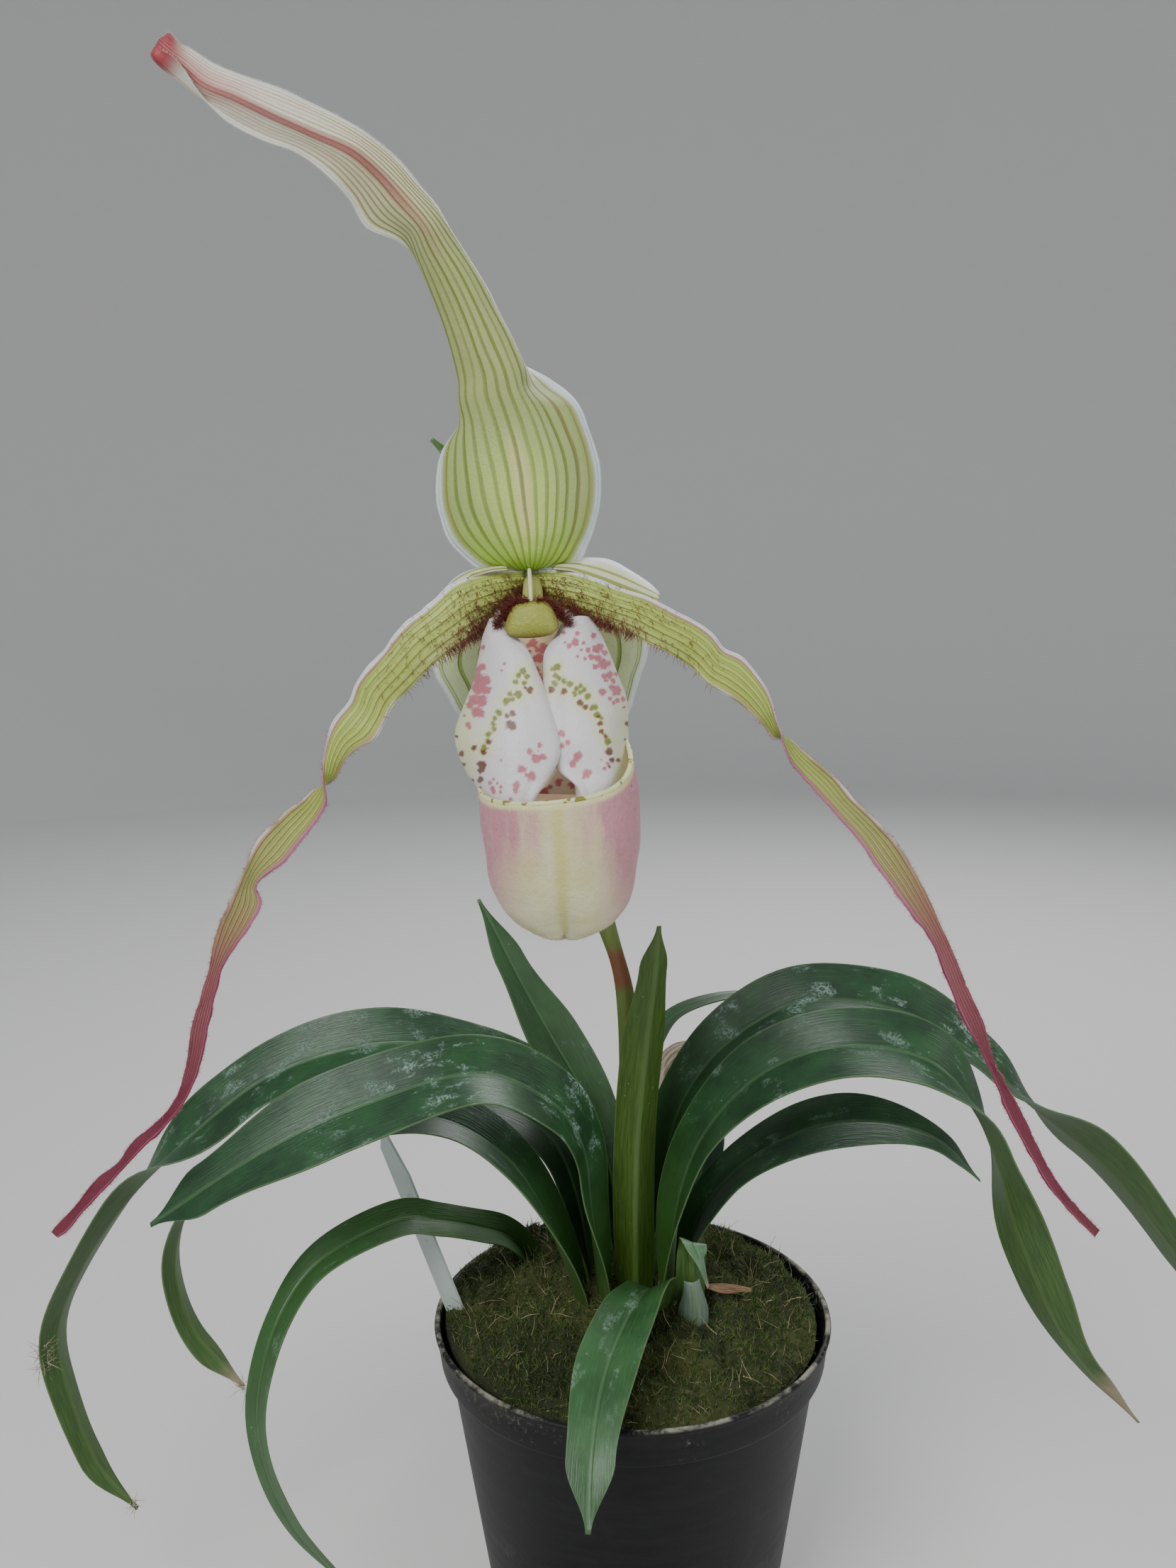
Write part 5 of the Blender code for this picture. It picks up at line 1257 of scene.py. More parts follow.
edge_values = np.maximum(np.abs(np.linspace(-1, 1, 31))[None, :], np.abs(np.linspace(-1, 1, 25))[:, None])
shield = skin("column_shield", np.array(rows), np.full((25, 31), 1.8), {"edge": edge_values},
              olive.material)
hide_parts("column")
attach(shield, "root")
ivory = Finish("column_ridge", Roughness=0.5)
ivory.wear(Base_Color=ivory.mix(ivory.speckle(ivory.where(), 900.0, 2.0), (0.58, 0.58, 0.30),
                                (0.74, 0.70, 0.52)))
neck = Finish("column_neck", Roughness=0.5)
neck.wear(Base_Color=neck.mix(neck.speckle(neck.where(), 600.0, 2.0), (0.30, 0.33, 0.06),
                              (0.44, 0.42, 0.16)))
tube("column_body", "column", [(-20.3, -49.6, 286.6), (-20.2, -54, 284.4), (-20.1, -58, 281.6),
                               (-20.1, -62.6, 279.2)],
     ((0, 1.9), (0.5, 2.1), (1, 2.6)), neck.material, stations=30)
tube("column_ridge", "column", [(-20.9, -53.2, 288.6), (-20.7, -56.4, 288.0), (-20.5, -59.4, 286.0),
                                (-20.3, -62.0, 283.2), (-20.2, -63.6, 281.2)],
     ((0, 0.35), (0.3, 0.42), (0.8, 0.40), (1, 0.6)), ivory.material, stations=40, sides=16)


# ---- Lip: a slipper of thick waxy tissue. The toe is a deep cup, cream in front and flushed pink at
# its sides; two white lobes fold in over its mouth, spotted rose, green and brown.

TOE = (
    (216.2, -15.0, -13.6, -73.0, -70.0), (217.0, -19.0, -10.2, -77.0, -66.0),
    (218.6, -22.2, -6.4, -79.6, -63.4), (221.5, -25.6, -3.4, -82.2, -60.8),
    (226.0, -28.0, -1.2, -84.6, -58.6), (232.0, -29.3, -0.1, -86.0, -57.2),
    (239.0, -30.2, 0.3, -86.2, -56.0), (246.0, -30.8, 0.0, -85.2, -55.2),
    (252.0, -31.4, -1.0, -83.8, -54.6), (256.0, -31.8, -2.2, -83.0, -54.2),
)
RIM = ((-180, 254.0), (-135, 251.0), (-100, 247.6), (-80, 245.6), (-55, 244.6), (-30, 244.5),
       (0, 245.0), (30, 245.9), (55, 247.6), (75, 250.2), (90, 252.8), (110, 255.0), (145, 255.6),
       (180, 254.0))
toe_low, toe_high = TOE[0][0], TOE[-1][0]
levels, around = 90, 180
share = np.linspace(0, 1, levels)[:, None]
turned_by = np.linspace(-180, 180, around, endpoint=False)[None, :]
rim = through([row[0] for row in RIM], [row[1] for row in RIM], turned_by[0])[None, :]
fine_heights = np.linspace(toe_low, toe_high, 400)
fine_table = [through([row[0] for row in TOE], [row[index] for row in TOE], fine_heights)
              for index in range(1, 5)]
height = toe_low + (rim - toe_low) * (share**1.7)
left, right, front, back = (np.interp(height, fine_heights, column) for column in fine_table)
angle = np.radians(turned_by - 90)
middle = np.exp(-(turned_by / 9.0) ** 2)
groove = middle * (0.60 * (1 - share) ** 2 + 0.12 * np.sin(np.pi * np.minimum(1, share * 1.05)))
cheeks = 0.5 * np.exp(-((np.abs(turned_by) - 30) / 16.0) ** 2) * np.exp(-((share - 0.25) / 0.25) ** 2)
x = (left + right) / 2 + (right - left) / 2 * np.cos(angle)
y = (front + back) / 2 + (back - front) / 2 * np.sin(angle) + groove * 1.3 - cheeks
z = height + 1.3 * middle * (1 - share) ** 3 * (1 - np.exp(-share * 30))
lean = np.array([[noise.noise(Vector((a, b, c)) / 9.0) * 0.55 for a, b, c in zip(*rows)]
                 for rows in zip(x, y, z)])
toe_grid = np.stack([x + lean * np.cos(angle), y + lean * np.sin(angle), z], 2)

# The emission makes the inside of the cup give off its own colour: a painted glow that lights the shaded
# hollow of the toe.
waxy = Finish("lip_toe", Roughness=0.42, Emission_Strength=0.28, Subsurface_Weight=0.15,
              Subsurface_Radius=(1.0, 0.6, 0.4), Subsurface_Scale=0.003)
here = waxy.where()
rise, side = waxy.read("along"), waxy.read("side")
right_side = side.within(0.0, 0.1)
away = side.math("ABSOLUTE")
flow = waxy.speckle(waxy.scaled(here, (260.0, 260.0, 45.0)), 1.0, 4.0, 0.6)
cloud = waxy.speckle(here, 140.0, 4.0, 0.6)
cells = waxy.speckle(here, 900.0, 4.0, 0.7)
cream = waxy.mix(cloud.within(0.3, 0.7), (0.56, 0.54, 0.27), (0.66, 0.63, 0.42))
cream = waxy.mix((1 - away.within(0.0, 0.10)) * rise.within(0.05, 0.2) * 0.75, cream, (0.50, 0.47, 0.15))
cream = waxy.mix(away.within(0.45, 0.90) * 0.7, cream, (0.60, 0.44, 0.43))
flush = away.within(0.18, 0.66) * rise.within(0.30, 0.74) * (0.55 + flow * 0.75)
flush = flush + rise.within(0.62, 0.94) * away.within(0.0, 0.22) * (0.40 + flow.within(0.35, 0.65) * 0.6)
flush = (
    flush * (0.6 + cloud * 0.7) + away.within(0.55, 0.95) * 0.5
    + right_side * away.within(0.25, 0.6) * rise.within(0.1, 0.5) * 0.35
    + (1 - rise.within(0.02, 0.24)) * 0.45
)
pink = waxy.mix(cells, (0.42, 0.16, 0.205), (0.55, 0.30, 0.33))
colour = waxy.mix(flush * 0.85, cream, pink)
dots = waxy.node("ShaderNodeTexVoronoi", {"Vector": here, "Scale": 620.0, "Randomness": 1.0})
where_dots = (away.within(0.55, 1.0) + (1 - rise.within(0.10, 0.34)) + rise.within(0.90, 0.97) * 0.9) * 0.8
keep = waxy.speckle(here, 330.0, 2.0).within(0.50, 0.62)
colour = waxy.mix((1 - dots.within(0.10, 0.22)) * where_dots * keep, colour, (0.22, 0.035, 0.09))
colour = waxy.mix(rise.within(0.968, 0.990), colour,
                  waxy.mix(cells, (0.62, 0.62, 0.26), (0.70, 0.68, 0.38)))
# Inside of the cup: a pale colour of its own, kept light against the shade, which is also given off as the
# painted glow.
inside = 1 - waxy.read("upper").within(0.4, 0.6)
colour = waxy.mix(inside, colour, waxy.mix(cloud.within(0.4, 0.62), (0.66, 0.62, 0.40), (0.62, 0.45, 0.38)))
waxy.wear(Base_Color=colour, Roughness=cells * 0.2 + 0.34,
          Emission_Color=waxy.mix(inside, (0.0, 0.0, 0.0), colour))
waxy.raise_by(cells * 0.8 + cloud * 0.4, 0.0004)
toe_side = np.broadcast_to(turned_by / 90.0, toe_grid.shape[:2])
toe = skin("lip_toe", toe_grid, np.full(toe_grid.shape[:2], 0.8), {"along": share, "side": toe_side},
           waxy.material, closed=True)

LIP_CAGE = (
    ((-20.2, -77.0, 241.6), (-20.4, -79.0, 241.4), (-22.0, -80.5, 240.3), (-24.8, -80.0, 239.7),
     (-27.9, -76.0, 239.7), (-30.3, -68.0, 239.4), (-29.7, -60.0, 239.6), (-22.3, -57.0, 242.2),
     (-13.8, -57.0, 242.3), (-3.9, -60.0, 242.2), (-2.3, -67.0, 242.6), (-4.2, -75.0, 242.4),
     (-6.6, -78.6, 242.1), (-9.1, -79.4, 241.9), (-11.0, -78.0, 242.7), (-11.4, -76.0, 243.2)),
    ((-19.0, -77.5, 246.4), (-19.2, -79.6, 245.9), (-21.5, -81.0, 245.1), (-24.8, -80.6, 244.6),
     (-28.5, -76.0, 244.9), (-31.4, -67.0, 245.7), (-30.6, -60.0, 245.7), (-22.4, -56.0, 245.0),
     (-13.9, -56.0, 245.4), (-2.8, -60.0, 248.1), (-1.5, -66.4, 247.5), (-4.2, -75.0, 246.8),
     (-6.7, -78.4, 246.6), (-9.4, -78.8, 246.4), (-11.9, -77.4, 247.4), (-12.3, -75.4, 248.0)),
    ((-16.7, -76.0, 249.2), (-16.9, -78.0, 248.7), (-20.4, -80.2, 249.3), (-25.2, -79.6, 249.0),
     (-29.9, -75.0, 248.9), (-33.5, -66.0, 248.6), (-33.0, -59.5, 249.7), (-22.5, -55.0, 248.6),
     (-13.9, -55.0, 249.2), (-2.4, -59.6, 251.9), (-1.4, -65.4, 251.2), (-4.3, -73.8, 250.5),
     (-7.7, -77.0, 250.0), (-11.2, -77.0, 249.7), (-15.2, -75.4, 250.0), (-15.7, -73.4, 250.5)),
    ((-14.6, -74.0, 255.0), (-14.8, -76.0, 254.4), (-19.6, -78.2, 255.5), (-25.7, -77.6, 255.6),
     (-31.8, -72.8, 255.5), (-35.7, -64.5, 255.1), (-35.1, -58.6, 255.7), (-22.6, -54.0, 254.4),
     (-14.0, -54.0, 254.8), (-2.7, -58.6, 257.4), (-1.5, -63.6, 256.4), (-4.4, -71.6, 256.3),
     (-8.5, -75.4, 256.0), (-12.8, -75.6, 255.6), (-16.9, -73.8, 255.5), (-17.4, -71.8, 256.0)),
    ((-16.3, -71.6, 261.4), (-16.5, -73.6, 260.7), (-20.7, -75.6, 261.1), (-25.6, -74.8, 261.1),
     (-30.6, -70.4, 260.8), (-34.1, -63.0, 260.3), (-33.7, -57.8, 261.2), (-22.7, -53.4, 259.5),
     (-14.1, -53.4, 259.7), (-2.5, -57.8, 262.2), (-1.6, -62.2, 261.4), (-4.4, -69.4, 261.4),
     (-8.6, -73.0, 261.1), (-13.1, -73.4, 260.9), (-17.5, -71.8, 260.7), (-18.0, -69.8, 261.2)),
    ((-18.6, -69.0, 267.1), (-18.8, -70.8, 266.5), (-22.0, -72.2, 266.5), (-25.6, -71.2, 266.4),
     (-29.2, -67.4, 266.1), (-32.0, -61.4, 265.7), (-31.7, -57.0, 266.2), (-22.7, -52.8, 264.7),
     (-14.2, -52.8, 264.8), (-4.1, -57.0, 267.1), (-3.2, -60.8, 266.3), (-5.8, -67.0, 266.5),
     (-9.5, -70.4, 266.5), (-13.4, -71.2, 266.3), (-17.3, -70.0, 266.2), (-17.8, -68.2, 266.8)),
    ((-20.7, -65.8, 271.8), (-20.9, -67.4, 271.3), (-23.2, -68.4, 271.5), (-25.9, -67.6, 271.5),
     (-28.6, -64.6, 271.2), (-30.9, -60.0, 270.7), (-30.6, -56.2, 271.3), (-22.8, -52.4, 269.5),
     (-14.2, -52.4, 269.6), (-5.8, -56.2, 271.9), (-5.0, -59.6, 271.1), (-7.3, -64.4, 271.4),
     (-10.4, -67.2, 271.6), (-13.7, -68.0, 271.4), (-17.1, -67.2, 271.2), (-17.5, -65.6, 271.8)),
    ((-23.0, -62.4, 274.6), (-23.4, -63.6, 274.3), (-24.9, -64.2, 275.1), (-26.5, -63.6, 275.8),
     (-28.5, -61.6, 275.9), (-30.0, -58.4, 275.2), (-29.7, -55.4, 275.9), (-22.8, -52.2, 273.4),
     (-14.3, -52.2, 273.6), (-7.6, -55.2, 276.2), (-6.9, -58.0, 275.4), (-8.5, -61.6, 275.7),
     (-10.7, -63.6, 275.9), (-13.1, -64.2, 275.6), (-15.1, -63.8, 274.7), (-15.5, -62.6, 275.0)),
    ((-24.6, -59.4, 277.2), (-25.0, -60.2, 277.2), (-25.9, -60.4, 277.9), (-26.9, -59.8, 278.5),
     (-28.0, -58.4, 278.8), (-28.9, -56.4, 278.5), (-28.6, -54.4, 279.0), (-22.9, -52.0, 276.3),
     (-14.3, -52.0, 276.5), (-9.2, -54.4, 279.3), (-8.7, -56.2, 278.6), (-9.8, -58.4, 278.8),
     (-11.2, -59.6, 278.8), (-12.7, -60.2, 278.3), (-13.8, -60.0, 277.3), (-14.2, -59.2, 277.3)),
)
# Where each spot is seen from the front, on an upright plane through the pouch: (x, z, radius).
ROSE_SPOTS = (
    (-29.0, 273.3, 0.41), (-29.3, 269.5, 0.69), (-30.1, 269.0, 0.55), (-30.5, 267.5, 0.96),
    (-29.0, 266.8, 1.10), (-30.0, 265.4, 1.23), (-28.6, 265.2, 0.82), (-31.9, 262.3, 0.62),
    (-31.2, 263.2, 0.75), (-29.7, 263.1, 1.10), (-30.6, 260.9, 0.96), (-29.7, 260.5, 0.69),
    (-32.3, 258.5, 0.48), (-32.0, 257.9, 0.30), (-33.0, 260.2, 0.27), (-25.1, 270.1, 0.30),
    (-25.7, 268.8, 0.22), (-13.6, 275.7, 0.33), (-11.1, 275.5, 0.44), (-8.2, 275.2, 0.49),
    (-13.5, 273.9, 0.25), (-12.8, 273.2, 0.44), (-11.6, 273.9, 0.63), (-10.5, 272.5, 0.27),
    (-10.1, 273.8, 0.36), (-9.2, 272.4, 0.49), (-7.7, 272.5, 0.74), (-7.0, 273.1, 0.60),
    (-8.5, 271.1, 0.63), (-7.4, 270.8, 0.63), (-6.1, 271.9, 0.49), (-6.4, 269.8, 0.88),
    (-5.4, 269.9, 0.47), (-8.0, 269.2, 0.47), (-5.3, 267.7, 0.63), (-6.3, 267.4, 0.47),
    (-4.0, 267.8, 0.38), (-4.5, 266.4, 0.49), (-5.9, 266.5, 0.36), (-6.6, 264.4, 0.63),
    (-4.0, 264.5, 0.82), (-4.8, 265.2, 0.49), (-5.2, 263.0, 0.38), (-3.8, 262.7, 0.44),
    (-2.7, 263.0, 0.49), (-4.5, 262.3, 0.38), (-2.5, 261.4, 0.30), (-11.2, 271.3, 0.27),
    (-9.8, 270.8, 0.33), (-20.7, 253.2, 0.52), (-18.8, 254.2, 0.44), (-19.2, 253.2, 0.19),
    (-19.6, 251.7, 0.85), (-18.2, 251.9, 0.58), (-22.3, 249.7, 0.74), (-21.3, 248.5, 0.44),
    (-20.5, 248.2, 0.85), (-23.4, 246.5, 0.63), (-23.5, 245.5, 0.60), (-24.6, 243.7, 0.38),
    (-26.2, 251.5, 0.25), (-28.4, 247.1, 0.33), (-28.0, 246.1, 0.41), (-27.7, 247.8, 0.25),
    (-26.4, 246.2, 0.33), (-26.4, 245.3, 0.27), (-27.7, 245.3, 0.38), (-27.0, 247.0, 0.22),
    (-14.5, 256.5, 0.66), (-13.3, 254.7, 0.49), (-14.5, 254.1, 0.55), (-11.3, 252.1, 0.74),
    (-11.7, 251.4, 0.55), (-12.4, 250.6, 0.71), (-9.6, 248.5, 0.82), (-10.1, 248.1, 0.47),
    (-6.3, 249.5, 0.38), (-6.9, 251.2, 0.19), (-5.8, 250.5, 0.30),
)
GREEN_SPOTS = (
    (-21.7, 268.6, 0.60), (-21.0, 267.5, 0.47), (-21.4, 266.3, 0.49), (-22.6, 267.9, 0.49),
    (-23.1, 266.5, 0.52), (-22.7, 264.1, 0.74), (-24.3, 264.2, 0.47), (-24.9, 262.8, 0.63),
    (-23.8, 263.2, 0.47), (-26.4, 260.6, 0.55), (-27.1, 259.6, 0.41), (-27.5, 258.5, 0.41),
    (-27.5, 257.5, 0.47), (-28.6, 256.5, 0.52), (-29.4, 253.8, 0.69), (-28.8, 255.4, 0.41),
    (-15.1, 269.2, 0.63), (-15.9, 268.9, 0.47), (-15.5, 267.7, 0.47), (-15.6, 266.2, 0.60),
    (-13.8, 266.6, 0.52), (-14.8, 267.2, 0.47), (-12.7, 266.0, 0.52), (-11.5, 265.0, 0.47),
    (-10.7, 265.7, 0.44), (-10.0, 264.8, 0.44), (-11.8, 264.1, 0.47), (-9.4, 263.6, 0.52),
    (-8.6, 261.3, 0.47), (-7.9, 261.5, 0.49), (-7.6, 260.0, 0.58), (-10.8, 264.5, 0.41),
    (-5.7, 254.7, 0.58), (-6.9, 259.4, 0.41),
)
BROWN_SPOTS = (
    (-20.4, 264.9, 0.58), (-21.2, 265.4, 0.36), (-23.8, 260.5, 0.58), (-24.9, 260.0, 0.38),
    (-24.3, 258.3, 0.85), (-23.6, 258.0, 0.49), (-28.4, 255.0, 0.44), (-29.5, 253.1, 0.52),
    (-31.3, 254.0, 0.49), (-29.9, 250.6, 0.82), (-30.0, 249.6, 0.60), (-30.2, 247.8, 0.55),
    (-33.8, 253.0, 0.49), (-33.4, 250.9, 0.38), (-31.8, 247.7, 0.36), (-30.4, 246.1, 0.38),
    (-34.6, 256.3, 0.30), (-16.1, 265.0, 0.60), (-13.8, 264.6, 0.63), (-10.8, 262.3, 0.60),
    (-9.8, 261.5, 0.49), (-7.1, 258.3, 0.49), (-6.8, 256.7, 0.47), (-6.1, 255.8, 0.38),
    (-5.5, 252.8, 0.71), (-5.0, 251.2, 0.47), (-3.8, 251.1, 0.44), (-5.5, 249.8, 0.33),
    (-1.9, 258.2, 0.47), (-2.4, 255.2, 0.25), (-7.4, 259.6, 0.27),
)
WALL_SPOTS = (
    (-19.7, 273.9, 0.77), (-20.5, 273.6, 0.41), (-17.7, 273.0, 0.88), (-18.8, 272.8, 0.55),
    (-18.4, 271.2, 0.82), (-17.5, 271.4, 0.69), (-19.4, 270.9, 0.55), (-20.5, 272.4, 0.38),
    (-19.1, 268.9, 0.60), (-17.9, 267.0, 0.74), (-18.6, 267.8, 0.41), (-17.3, 269.3, 0.33),
    (-19.9, 269.8, 0.33), (-18.1, 245.2, 0.82), (-18.8, 244.6, 0.55), (-15.2, 246.9, 0.63),
    (-12.6, 246.4, 0.63), (-16.9, 246.0, 0.41),
)
lip_knots = (-1, -0.97, -0.83, -0.68, -0.52, -0.38, -0.27, -0.1, 0.1, 0.27, 0.38, 0.52, 0.68, 0.83, 0.97, 1)
lobe_grid = draped(LIP_CAGE, lip_knots, 150, np.linspace(-1, 1, 241))[0]
lobe_grid = ripple(lobe_grid, 0.25, 7.0, 3.0)
eye = np.array(EYE)
shrink = (-72.0 - eye[1]) / (lobe_grid[..., 1] - eye[1])
seen_x = eye[0] + (lobe_grid[..., 0] - eye[0]) * shrink
seen_z = eye[2] + (lobe_grid[..., 2] - eye[2]) * shrink
ragged = np.array([[noise.noise(Vector((a, b, 0.0)) * 1.4) + 0.6 * noise.noise(Vector((a, b, 4.0)) * 3.2)
                    for a, b in zip(*line)] for line in zip(seen_x, seen_z)])
front_face = lobe_grid[..., 1] < -57.4


def spotted(spots, fuzz=0.45, grow_by=1.0, soft=0.30):
    """How strongly spots of these places and sizes colour each point."""
    strength = np.zeros(seen_x.shape)
    for x, z, radius in spots:
        radius *= grow_by * 1.12
        away = np.hypot(seen_x - x, seen_z - z) + ragged * radius * fuzz
        strength = np.maximum(strength, np.clip((radius - away) / (radius * soft) + 0.5, 0, 1))
    return strength


lobe_marks = {
    "rose": np.where(front_face, spotted(ROSE_SPOTS), spotted(WALL_SPOTS)),
    "green": spotted(GREEN_SPOTS) * front_face,
    "brown": spotted(BROWN_SPOTS) * front_face,
    "halo": spotted(GREEN_SPOTS + BROWN_SPOTS[:2] + BROWN_SPOTS[17:24], 0.3, 2.3, 1.6) * front_face,
    "wall": 1.0 - np.clip((-54.2 - lobe_grid[..., 1]) / 3.0, 0, 1),
    "high": np.clip((lobe_grid[..., 2] - 258.0) / 14.0, 0, 1),
    "outer": np.clip((np.abs(lobe_grid[..., 0] + 17.6) - 9.5) / 6.5, 0, 1),
}
# The emission makes the back wall between the lobes give off its own colour: a painted glow in the shaded
# gap.
lobe = Finish("lip_lobes", Roughness=0.45, Emission_Strength=0.22, Subsurface_Weight=0.15,
              Subsurface_Radius=(1.0, 0.7, 0.5), Subsurface_Scale=0.003)
here = lobe.where()
rose, green, brown, halo, wall, high, outer = (lobe.read(key) for key in lobe_marks)
cloud = lobe.speckle(here, 170.0, 4.0, 0.6)
cells = lobe.speckle(here, 1000.0, 3.0, 0.7)
white = lobe.mix(cells, (0.60, 0.57, 0.585), (0.69, 0.66, 0.67))
white = lobe.mix(outer.within(0.32, 0.9) * (1 - high) * 0.85, white, (0.62, 0.66, 0.38))
white = lobe.mix(high.within(0.25, 1.0) * outer.within(0.15, 0.9) * cloud.within(0.38, 0.62) * 0.8, white,
                 (0.58, 0.25, 0.31))
white = lobe.mix(halo * 0.62, white, (0.60, 0.64, 0.22))
# Back wall between the lobes: pale colours, kept light against the shade, that the wall also gives off as
# the painted glow.
behind = lobe.mix(high, (0.66, 0.52, 0.42), (0.72, 0.58, 0.38))
colour = lobe.mix(wall, white, behind)
colour = lobe.mix(green * 0.9, colour, lobe.mix(cells, (0.105, 0.130, 0.004), (0.18, 0.21, 0.012)))
colour = lobe.mix(brown * 0.92, colour, lobe.mix(cells, (0.095, 0.020, 0.006), (0.16, 0.042, 0.014)))
colour = lobe.mix(rose * (0.70 + cells * 0.3), colour,
                  lobe.mix(cells, (0.36, 0.045, 0.085), (0.48, 0.10, 0.15)))
lobe.wear(Base_Color=colour, Roughness=cells * 0.2 + 0.36,
          Emission_Color=lobe.mix(wall, (0.0, 0.0, 0.0), colour))
lobe.raise_by(cells * 0.6 + cloud * 0.3, 0.0003)
lobes = skin("lip_side_lobes", lobe_grid, np.full(lobe_grid.shape[:2], 0.5), lobe_marks, lobe.material)

bead = Finish("lip_rim", Roughness=0.4)
freckles = bead.speckle(bead.where(), 420.0, 2.0, 0.6)
pale_rim = bead.mix(bead.speckle(bead.where(), 900.0, 2.0), (0.60, 0.62, 0.28), (0.70, 0.70, 0.42))
bead.wear(Base_Color=bead.mix(freckles.within(0.56, 0.62), pale_rim, (0.24, 0.20, 0.03)))
rim_line = toe_grid[-1]
inward = unit(np.array([-15.4, -70.4, 0.0]) - rim_line * [1, 1, 0])
bead_sides = 12
ring_angles = 2 * np.pi * np.arange(bead_sides) / bead_sides
rolled = 0.52 + 0.10 * np.array([noise.noise(Vector(point) / 2.5) for point in rim_line])
bead_grid = (rim_line[:, None] + [0, 0, 0.1] + rolled[:, None, None] * (
    inward[:, None] * np.cos(ring_angles)[None, :, None] + np.array([0, 0, 1.0])
    * np.sin(ring_angles)[None, :, None]))
ids = np.arange(around * bead_sides).reshape(around, bead_sides)
next_row, next_column = np.roll(ids, -1, 0), np.roll(ids, -1, 1)
faces = np.stack([ids, next_column, np.roll(next_row, -1, 1), next_row], -1).reshape(-1, 4).tolist()
rim_bead = link("lip_rim", solid("lip_rim", bead_grid.reshape(-1, 3), faces, bead.material))
for piece in (toe, lobes, rim_bead):
    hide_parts("lip_pouch")
    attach(piece, "root")


# ---- Hairs: stiff maroon hairs on the petals' lower margins and on the column's brows, rose down on
# the petals' ends, and white down on the lip, the dorsal sepal and the ends of the brows.

def seeded_on(grid, count, seed, chance):
    """Random places on a grid, kept by chance(along, across): their points, normals, ways across and
    along, how far across each is, and the generator for the draws that follow."""
    dice = np.random.default_rng(seed)
    rows, across = grid.shape[:2]
    normals = grid_normals(grid)
    sides = unit(np.gradient(grid, axis=1))
    runs = unit(np.gradient(grid, axis=0))
    places = []
    while len(places) < count:
        a, b = dice.random(), dice.random() * 2 - 1
        if dice.random() > chance(a, b):
            continue
        i, j = a * (rows - 1.001), (b + 1) / 2 * (across - 1.001)
        p, q, s, t = int(i), int(j), i - int(i), j - int(j)
        mixed = [
            (source[p, q] * (1 - s) + source[p + 1, q] * s) * (1 - t)
            + (source[p, q + 1] * (1 - s) + source[p + 1, q + 1] * s) * t
            for source in (grid, normals, sides, runs)
        ]
        places.append(mixed + [b])
    points, normals, sides, runs, far = (np.array([place[index] for place in places]) for index in range(5))
    return points, unit(normals), unit(sides), unit(runs), far, dice


hair = Finish("maroon_hair", Roughness=0.5)
tone = hair.speckle(hair.where(), 700.0, 2.0)
hair.wear(Base_Color=hair.mix(tone, (0.110, 0.020, 0.014), (0.24, 0.060, 0.040)))


def brow_chance(a, b):
    """Dense along the lower margin near the column, thin over the face and outward."""
    near = max(0.0, 1 - a / 0.13)
    dense = near**0.8 * math.exp(-((1 - b) / (0.30 + 0.55 * near)) ** 2)
    face = 0.09 * max(0.0, 1 - a / 0.24) ** 1.5 * (1 if b > -0.6 else 0.15)
    fringe = 0.22 * max(0.0, 1 - a / 0.22) * (1 if b > 0.9 else 0)
    return min(1.0, dense + face + fringe)


for grid, side, seed in zip(petal_grids, ("left", "right"), (11, 12)):
    points, normals, sides, runs, b, dice = seeded_on(grid[:90], 2600, seed, lambda a,
                                                         b: brow_chance(a * 0.3, b))
    toward = np.where(normals[:, 1:2] > 0, -1.0, 1.0) * normals
    leans = (
        toward * 0.9 + sides * (0.55 + 0.9 * (b[:, None] > 0.75)) + runs * 0.25
        + dice.normal(0, 0.33, points.shape)
    )
    bristles("petal_" + side + "_hairs", "petal_" + side, points, leans, 0.0023, 0.00018, 0.35,
             0.55, seed, hair.material, 4)

down = Finish("rose_down", Roughness=0.6)
tone = down.speckle(down.where(), 900.0, 1.0)
down.wear(Base_Color=down.mix(tone, (0.30, 0.05, 0.10), (0.55, 0.22, 0.30)))
for grid, side, seed in zip(petal_grids, ("left", "right"), (21, 22)):
    points, normals, sides, runs, b, dice = seeded_on(grid, 3000, seed, lambda a,
                                                         b: (a > 0.27) * (1.0 if abs(b) > 0.93 else 0.05))
    leans = (
        sides * np.sign(b)[:, None] + normals * dice.choice([-0.6, 0.6], (len(points), 1))
        + dice.normal(0, 0.3, points.shape)
    )
    bristles("petal_" + side + "_down", "petal_" + side, points, leans, 0.00085, 0.00010, 0.2, 0.5,
             seed, down.material)
pale = Finish("white_down", Roughness=0.6)
tone = pale.speckle(pale.where(), 900.0, 1.0)
pale.wear(Base_Color=pale.mix(tone, (0.55, 0.58, 0.50), (0.80, 0.80, 0.76)))
points, normals, sides, runs, b, dice = seeded_on(dorsal_grid, 3500, 31, lambda a, b: 1.0
                                                     if abs(b) > 0.96 else 0.06)
leans = (
    sides * np.sign(b)[:, None] * (np.abs(b)[:, None] > 0.9) + normals * 0.7
    + dice.normal(0, 0.3, points.shape)
)
bristles("dorsal_sepal_down", "dorsal_sepal", points, leans, 0.0005, 0.00007, 0.2, 0.5, 31,
         pale.material)
points, normals, sides, runs, b, dice = seeded_on(toe_grid, 9000, 41, lambda a, b: 1.0 if a > 0.02
                                                     else 0.0)
bristles("lip_down", "lip_pouch", points, normals + dice.normal(0, 0.25, points.shape), 0.00075,
         0.00007, 0.2, 0.5, 41, pale.material)
BROWS = (
    ((-27.1, -62.4, 277.2), (-26.4, -62.6, 278.4), (-25.0, -62.9, 279.8), (-23.4, -63.2, 281.3),
     (-21.2, -63.5, 282.0)),
    ((-12.9, -62.4, 277.4), (-13.8, -62.6, 278.6), (-15.2, -62.9, 279.9), (-17.0, -63.2, 281.4),
     (-19.2, -63.5, 282.0)),
)
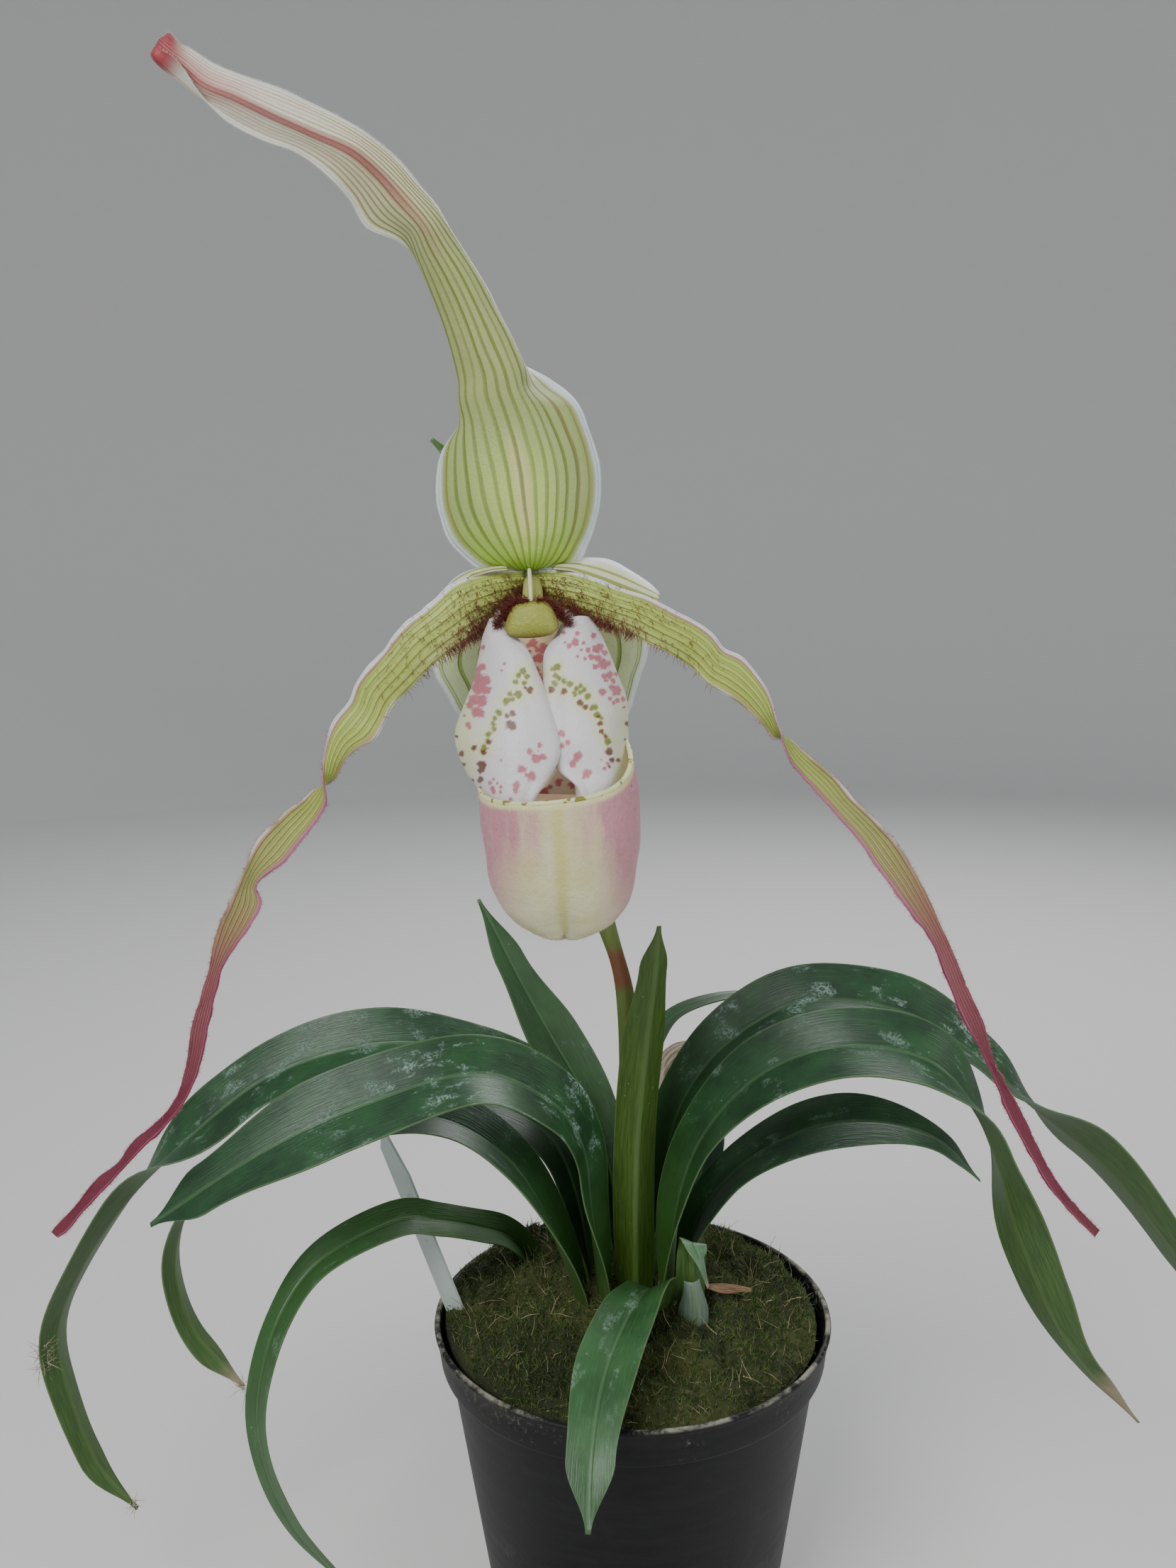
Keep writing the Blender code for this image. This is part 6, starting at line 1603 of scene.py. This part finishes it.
for brow, hand, outward, seed in zip(BROWS, ("left", "right"), (-1, 1), (51, 52)):
    dice = np.random.default_rng(seed)
    line = smooth_path(brow, 60)
    spots = line[dice.integers(0, 60, 1100)] + dice.normal(0, (0.38, 0.40, 0.38), (1100, 3))
    leans = np.array([0.55 * outward, -0.75, 0.35]) + dice.normal(0, 0.5, (1100, 3))
    bristles("column_brow_" + hand, "column", spots, leans, 0.0016, 0.00019, 0.3, 0.5,
             seed, hair.material, 4)
    ends = line[dice.integers(0, 14, 60)] + dice.normal(0, 0.4, (60, 3)) + [0, 0, 0.5]
    bristles("column_tufts_" + hand, "column", ends,
             np.array([0.7 * outward, -0.6, 0.6]) + dice.normal(0, 0.4, (60, 3)), 0.0014, 0.00013, 0.3, 0.4,
             seed + 4, pale.material)


# ---- Plant label: a slim white plastic stake pushed in at the rim, its top cut on a slant. It is
# bare here, with blotches of algae and grime that get denser towards its foot.

stake = Finish("label_plastic", Roughness=0.4)
here = stake.where()
grime = stake.speckle(here, 160.0, 6.0, 0.7)
low = 1 - stake.node("ShaderNodeSeparateXYZ", {0: here}, output="Z").within(0.095, 0.135)
dirt = (grime.within(0.52, 0.70) * (0.35 + low * 0.6)).math("MAXIMUM", low * 0.35)
stake.wear(Base_Color=stake.mix(dirt, (0.62, 0.70, 0.70), (0.12, 0.13, 0.06)), Roughness=0.35 + dirt * 0.5)
dress("plant_label", stake)


# ---- Dry leaves: the pale dead leaf behind the crown and the brown scrap lying on the moss.

def dry_finish(name, light, dark, seed):
    dry = Finish(name, Roughness=0.85)
    spread = dry.node("ShaderNodeCombineXYZ", {0: dry.read("reach"), 1: dry.read("run") * 0.08, 2: seed})
    fibre = dry.speckle(spread, 2.2, 4.0, 0.65)
    dry.wear(Base_Color=dry.mix(fibre.within(0.35, 0.65), dark, light))
    dry.raise_by(fibre, 0.0004)
    return dry.material


blade(
    "leaf_back_dead",
    [(9, 22, 108), (10, 28, 124), (11, 34, 142), (14, 37, 150), (22, 38, 153)],
    ((0, (0.1, -1, 0)), (0.6, (-0.3, -1, 0.5)), (1, (-0.5, -0.6, 1))),
    ((0, 5), (0.6, 8), (0.9, 8), (1, 6)),
    dry_finish("dead_leaf", (0.55, 0.47, 0.36), (0.20, 0.15, 0.10), 2.0), stations=40,
)
blade(
    "dry_leaf_scrap",
    [(19, -8, 105.2), (23, -8.4, 104.9), (27, -8.2, 104.5), (31, -8.6, 104.2)],
    ((0, (0, -0.3, 1)), (1, (0, -0.3, 1))),
    ((0, 1.6), (0.4, 3.4), (1, 1.4)),
    dry_finish("brown_scrap", (0.28, 0.17, 0.09), (0.11, 0.060, 0.030), 5.0),
    fold=((0, 0), (1, 0)), curl=((0, -30), (1, -30)), stations=24, thick=(0.5, 0.3),
)

litter = moss_finish("dry_litter", (0.20, 0.15, 0.08), (0.50, 0.44, 0.30))
for name, node, count, middle, spread, length, seed in (
    ("litter_far", "leaf_left_far", 90, (-157.5, -1.0, 83.0), (1.6, 1.2, 4.5), 0.0042, 81),
    ("litter_far_tip", "leaf_left_far", 26, (-136.8, -0.6, 39.5), (0.8, 0.6, 1.6), 0.0026, 82),
    ("litter_lower", "leaf_left_lower", 30, (-101.5, -13.4, 82.5), (1.3, 0.5, 1.3), 0.0046, 83),
):
    dice = np.random.default_rng(seed)
    spots = np.array(middle) + dice.normal(0, 0.5, (count, 3)) * spread
    bristles(name, node, spots, dice.normal(0, 1, (count, 3)), length, 0.00028, 0.8, 0.7, seed,
             litter)
